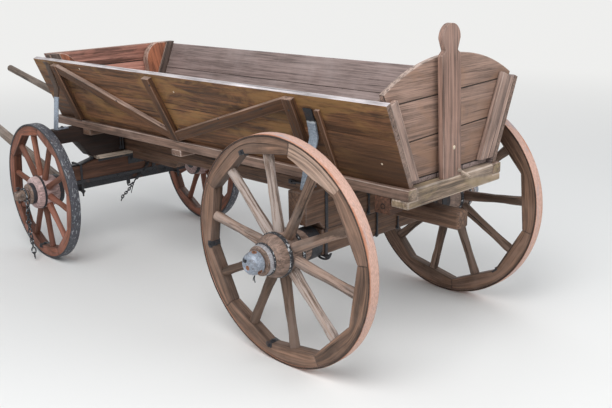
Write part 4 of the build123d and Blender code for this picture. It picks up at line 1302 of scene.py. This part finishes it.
def add_linch_pin(side_name, place):
    """Rimmed holes in the rear cap with black discs of painted shade in them, a knob and a rust patch on its end,
    and the pin's wire below it.
    """
    rims, holes = [], []
    disc = ((0.0005, -0.004), (0.0080, -0.004), (0.0080, 0.0006), (0.0005, 0.0009))
    patch = ((0.0005, -0.004), (0.0115, -0.004), (0.0105, 0.0012), (0.0060, 0.0020), (0.0005, 0.0022))
    for angle, out, radius in ((262, 0.166, 0.0508), (145, 0.170, 0.0505)):
        way = Vector((math.cos(math.radians(angle)), math.sin(math.radians(angle)), 0.0))
        seat = place @ facing(way * radius + Vector((0, 0, out)), way)
        rims.append(torus(0.0088, 0.0028, seat))
        # a black disc of painted shade in each hole
        holes.append(settle(turned(disc, 16, closed=False), seat))
    rims.append(settle(turned(patch, 20, closed=False), place @ at(0.002, 0.012, 0.1995)))
    ironwork(f"cap_rust_{side_name}", rims, "wagon", "dark_rust")
    ironwork(f"cap_hole_shade_{side_name}", holes, "wagon", "painted_hole_shade")
    irons = [bolt(0.0075, 0.007, 10, place @ at(0.016, -0.019, 0.2002))]
    for wire, points in (
        (0.0022, [(0.0, 0.049, 0.163), (0.001, 0.060, 0.164), (0.004, 0.075, 0.166), (-0.002, 0.088, 0.166)]),
        (0.0016, [(0.001, 0.058, 0.164), (0.008, 0.066, 0.168), (0.006, 0.08, 0.17)]),
    ):
        irons.append(settle(rod(points, wire, "NURBS"), place))
    ironwork(f"linch_wire_{side_name}", irons, "wagon")


class WAGON_OT_axle_ends(bpy.types.Operator):
    """Axle arms with their rounded caps and linch pins"""

    bl_idname = "wagon.axle_ends"
    bl_label = "Axle arms and caps"

    def execute(self, context):
        for axle, (body, look, arm_line, cap_line) in CAPS.items():
            arms = []
            for side_name, _ in SIDES:
                place = wheel_place(f"{axle}_{side_name}")
                arms.append(settle(turned(arm_line, 40, closed=False), place))
                cap = settle(turned(cap_line, 40, closed=False), place)
                smooth(cap, 38)
                finish_piece(cap, f"axle_cap_{axle}_{side_name}", body, (look,))
                if axle == "rear":
                    add_linch_pin(side_name, place)
                else:
                    pin = settle(rod([(0, -0.048, 0.158), (0, 0.045, 0.158)], 0.0055), place)
                    head = bolt(0.010, 0.009, 8, place @ facing((0, -0.046, 0.158), (0, -1, 0)))
                    ironwork(f"linch_pin_front_{side_name}", [pin, head], body)
            name = f"{axle}_axle_arms"
            joined = join(arms, name + "_worn")
            smooth(joined)
            finish_piece(joined, name + "_worn", body, ("black_iron",), (name,))
        return {"FINISHED"}


class WAGON_OT_rear_wheels(bpy.types.Operator):
    """Both rear wheels with their nave bands"""

    bl_idname = "wagon.rear_wheels"
    bl_label = "Rear wheels"

    def execute(self, context):
        for wheel in ("rear_left", "rear_right"):
            add_wheel(wheel)
        return {"FINISHED"}


class WAGON_OT_front_wheels(bpy.types.Operator):
    """Both front wheels with their nave bands"""

    bl_idname = "wagon.front_wheels"
    bl_label = "Front wheels"

    def execute(self, context):
        for wheel in ("front_left", "front_right"):
            add_wheel(wheel)
        return {"FINISHED"}


def studio_world():
    """Soft light from all round, seen by the camera and by glossy iron as the backdrop's white."""
    t = Tree("studio", "worlds", "Background")
    t.shader.inputs["Color"].default_value = (0.93, 0.96, 1.0, 1)
    t.shader.inputs["Strength"].default_value = 0.55
    white = t.add("ShaderNodeBackground", {"Color": (*BACKDROP, 1)}).outputs[0]
    path = t.add("ShaderNodeLightPath").outputs
    seen = t.calc(path["Is Camera Ray"], path["Is Glossy Ray"], "MAXIMUM")
    both = t.add("ShaderNodeMixShader", {0: seen, 1: t.shader.outputs[0], 2: white})
    t.links.new(both.outputs[0], t.nodes["World Output"].inputs["Surface"])
    return t.data


def fading_floor():
    """Plain matte floor finish that fades into the backdrop's white far from the wagon."""
    t = Tree("stage_floor")
    level = 0.80
    t.shader.inputs["Base Color"].default_value = (level, level, level * 0.985, 1)
    t.shader.inputs["Roughness"].default_value = 0.9
    share = t.span(t.distance(t.place(), (-0.9, 0, 0)), 2.0, 10.0, "SMOOTHSTEP")
    seen = t.add("ShaderNodeLightPath").outputs["Is Camera Ray"]
    glow = t.add("ShaderNodeEmission", {"Color": (*BACKDROP, 1), "Strength": 1.0}).outputs[0]
    both = t.add("ShaderNodeMixShader", {0: t.times(share, seen), 1: t.shader.outputs[0], 2: glow})
    t.links.new(both.outputs[0], t.nodes["Material Output"].inputs["Surface"])
    return t.data


class WAGON_OT_stage(bpy.types.Operator):
    """Pale floor, soft lamps and the camera at the photograph's angle"""

    bl_idname = "wagon.stage"
    bl_label = "Floor, light and camera"

    def execute(self, context):
        floor = fresh(bpy.ops.mesh.primitive_plane_add, size=60, location=(0, 0, 0))
        floor.name = "stage_floor"
        floor.data.materials.append(fading_floor())
        context.scene.world = studio_world()
        for name, place, aim, size, power in LAMPS:
            light = bpy.data.lights.new(name, "AREA")
            light.size = size
            light.energy = power
            lamp = linked(name, light)
            lamp.location = place
            lamp.rotation_euler = (Vector(aim) - Vector(place)).to_track_quat("-Z", "Y").to_euler()
        yaw, pitch, roll = (math.radians(angle) for angle in CAMERA_ANGLES)
        look = Vector((math.cos(yaw) * math.cos(pitch), math.sin(yaw) * math.cos(pitch), -math.sin(pitch)))
        right = look.cross(UP).normalized()
        tilted = math.cos(roll) * right + math.sin(roll) * right.cross(look)
        lens = bpy.data.cameras.new("camera")
        lens.sensor_width = SENSOR_WIDTH
        lens.lens = FOCAL_PIXELS / PICTURE_WIDTH * SENSOR_WIDTH
        camera = linked("camera", lens)
        turn = Matrix((tilted, tilted.cross(look), -look)).transposed().to_4x4()
        camera.matrix_world = Matrix.Translation(CAMERA_PLACE) @ turn
        context.scene.camera = camera
        context.scene.view_settings.view_transform = "Standard"
        return {"FINISHED"}


class WAGON_PT_panel(bpy.types.Panel):
    """Buttons for every group of the wagon's pieces"""

    bl_label = "Hay wagon"
    bl_idname = "WAGON_PT_panel"
    bl_space_type = "VIEW_3D"
    bl_region_type = "UI"
    bl_category = "Wagon"

    def draw(self, context):
        for group in (context.scene.wagon_finish, context.scene.wagon_sizes):
            for prop in group.bl_rna.properties:
                if prop.identifier not in ("rna_type", "name"):
                    self.layout.prop(group, prop.identifier)
        for operator in OPERATORS:
            self.layout.operator(operator.bl_idname)


OPERATORS = (
    WAGON_OT_stage,
    WAGON_OT_box,
    WAGON_OT_underframe,
    WAGON_OT_ends,
    WAGON_OT_front_carriage,
    WAGON_OT_axle_ends,
    WAGON_OT_rear_wheels,
    WAGON_OT_front_wheels,
)
CLASSES = (WagonFinish, WagonSizes, *OPERATORS, WAGON_PT_panel)
FINISHES = {}


def register():
    for cls in CLASSES:
        bpy.utils.register_class(cls)
    bpy.types.Scene.wagon_finish = bpy.props.PointerProperty(type=WagonFinish)
    bpy.types.Scene.wagon_sizes = bpy.props.PointerProperty(type=WagonSizes)


def unregister():
    del bpy.types.Scene.wagon_sizes
    del bpy.types.Scene.wagon_finish
    for cls in reversed(CLASSES):
        bpy.utils.unregister_class(cls)


def build_wagon():
    """Register the add-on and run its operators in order."""
    register()
    FINISHES.update(make_finishes())
    for operator in OPERATORS:
        group, name = operator.bl_idname.split(".")
        getattr(getattr(bpy.ops, group), name)()


if __name__ == "__main__":
    build_wagon()
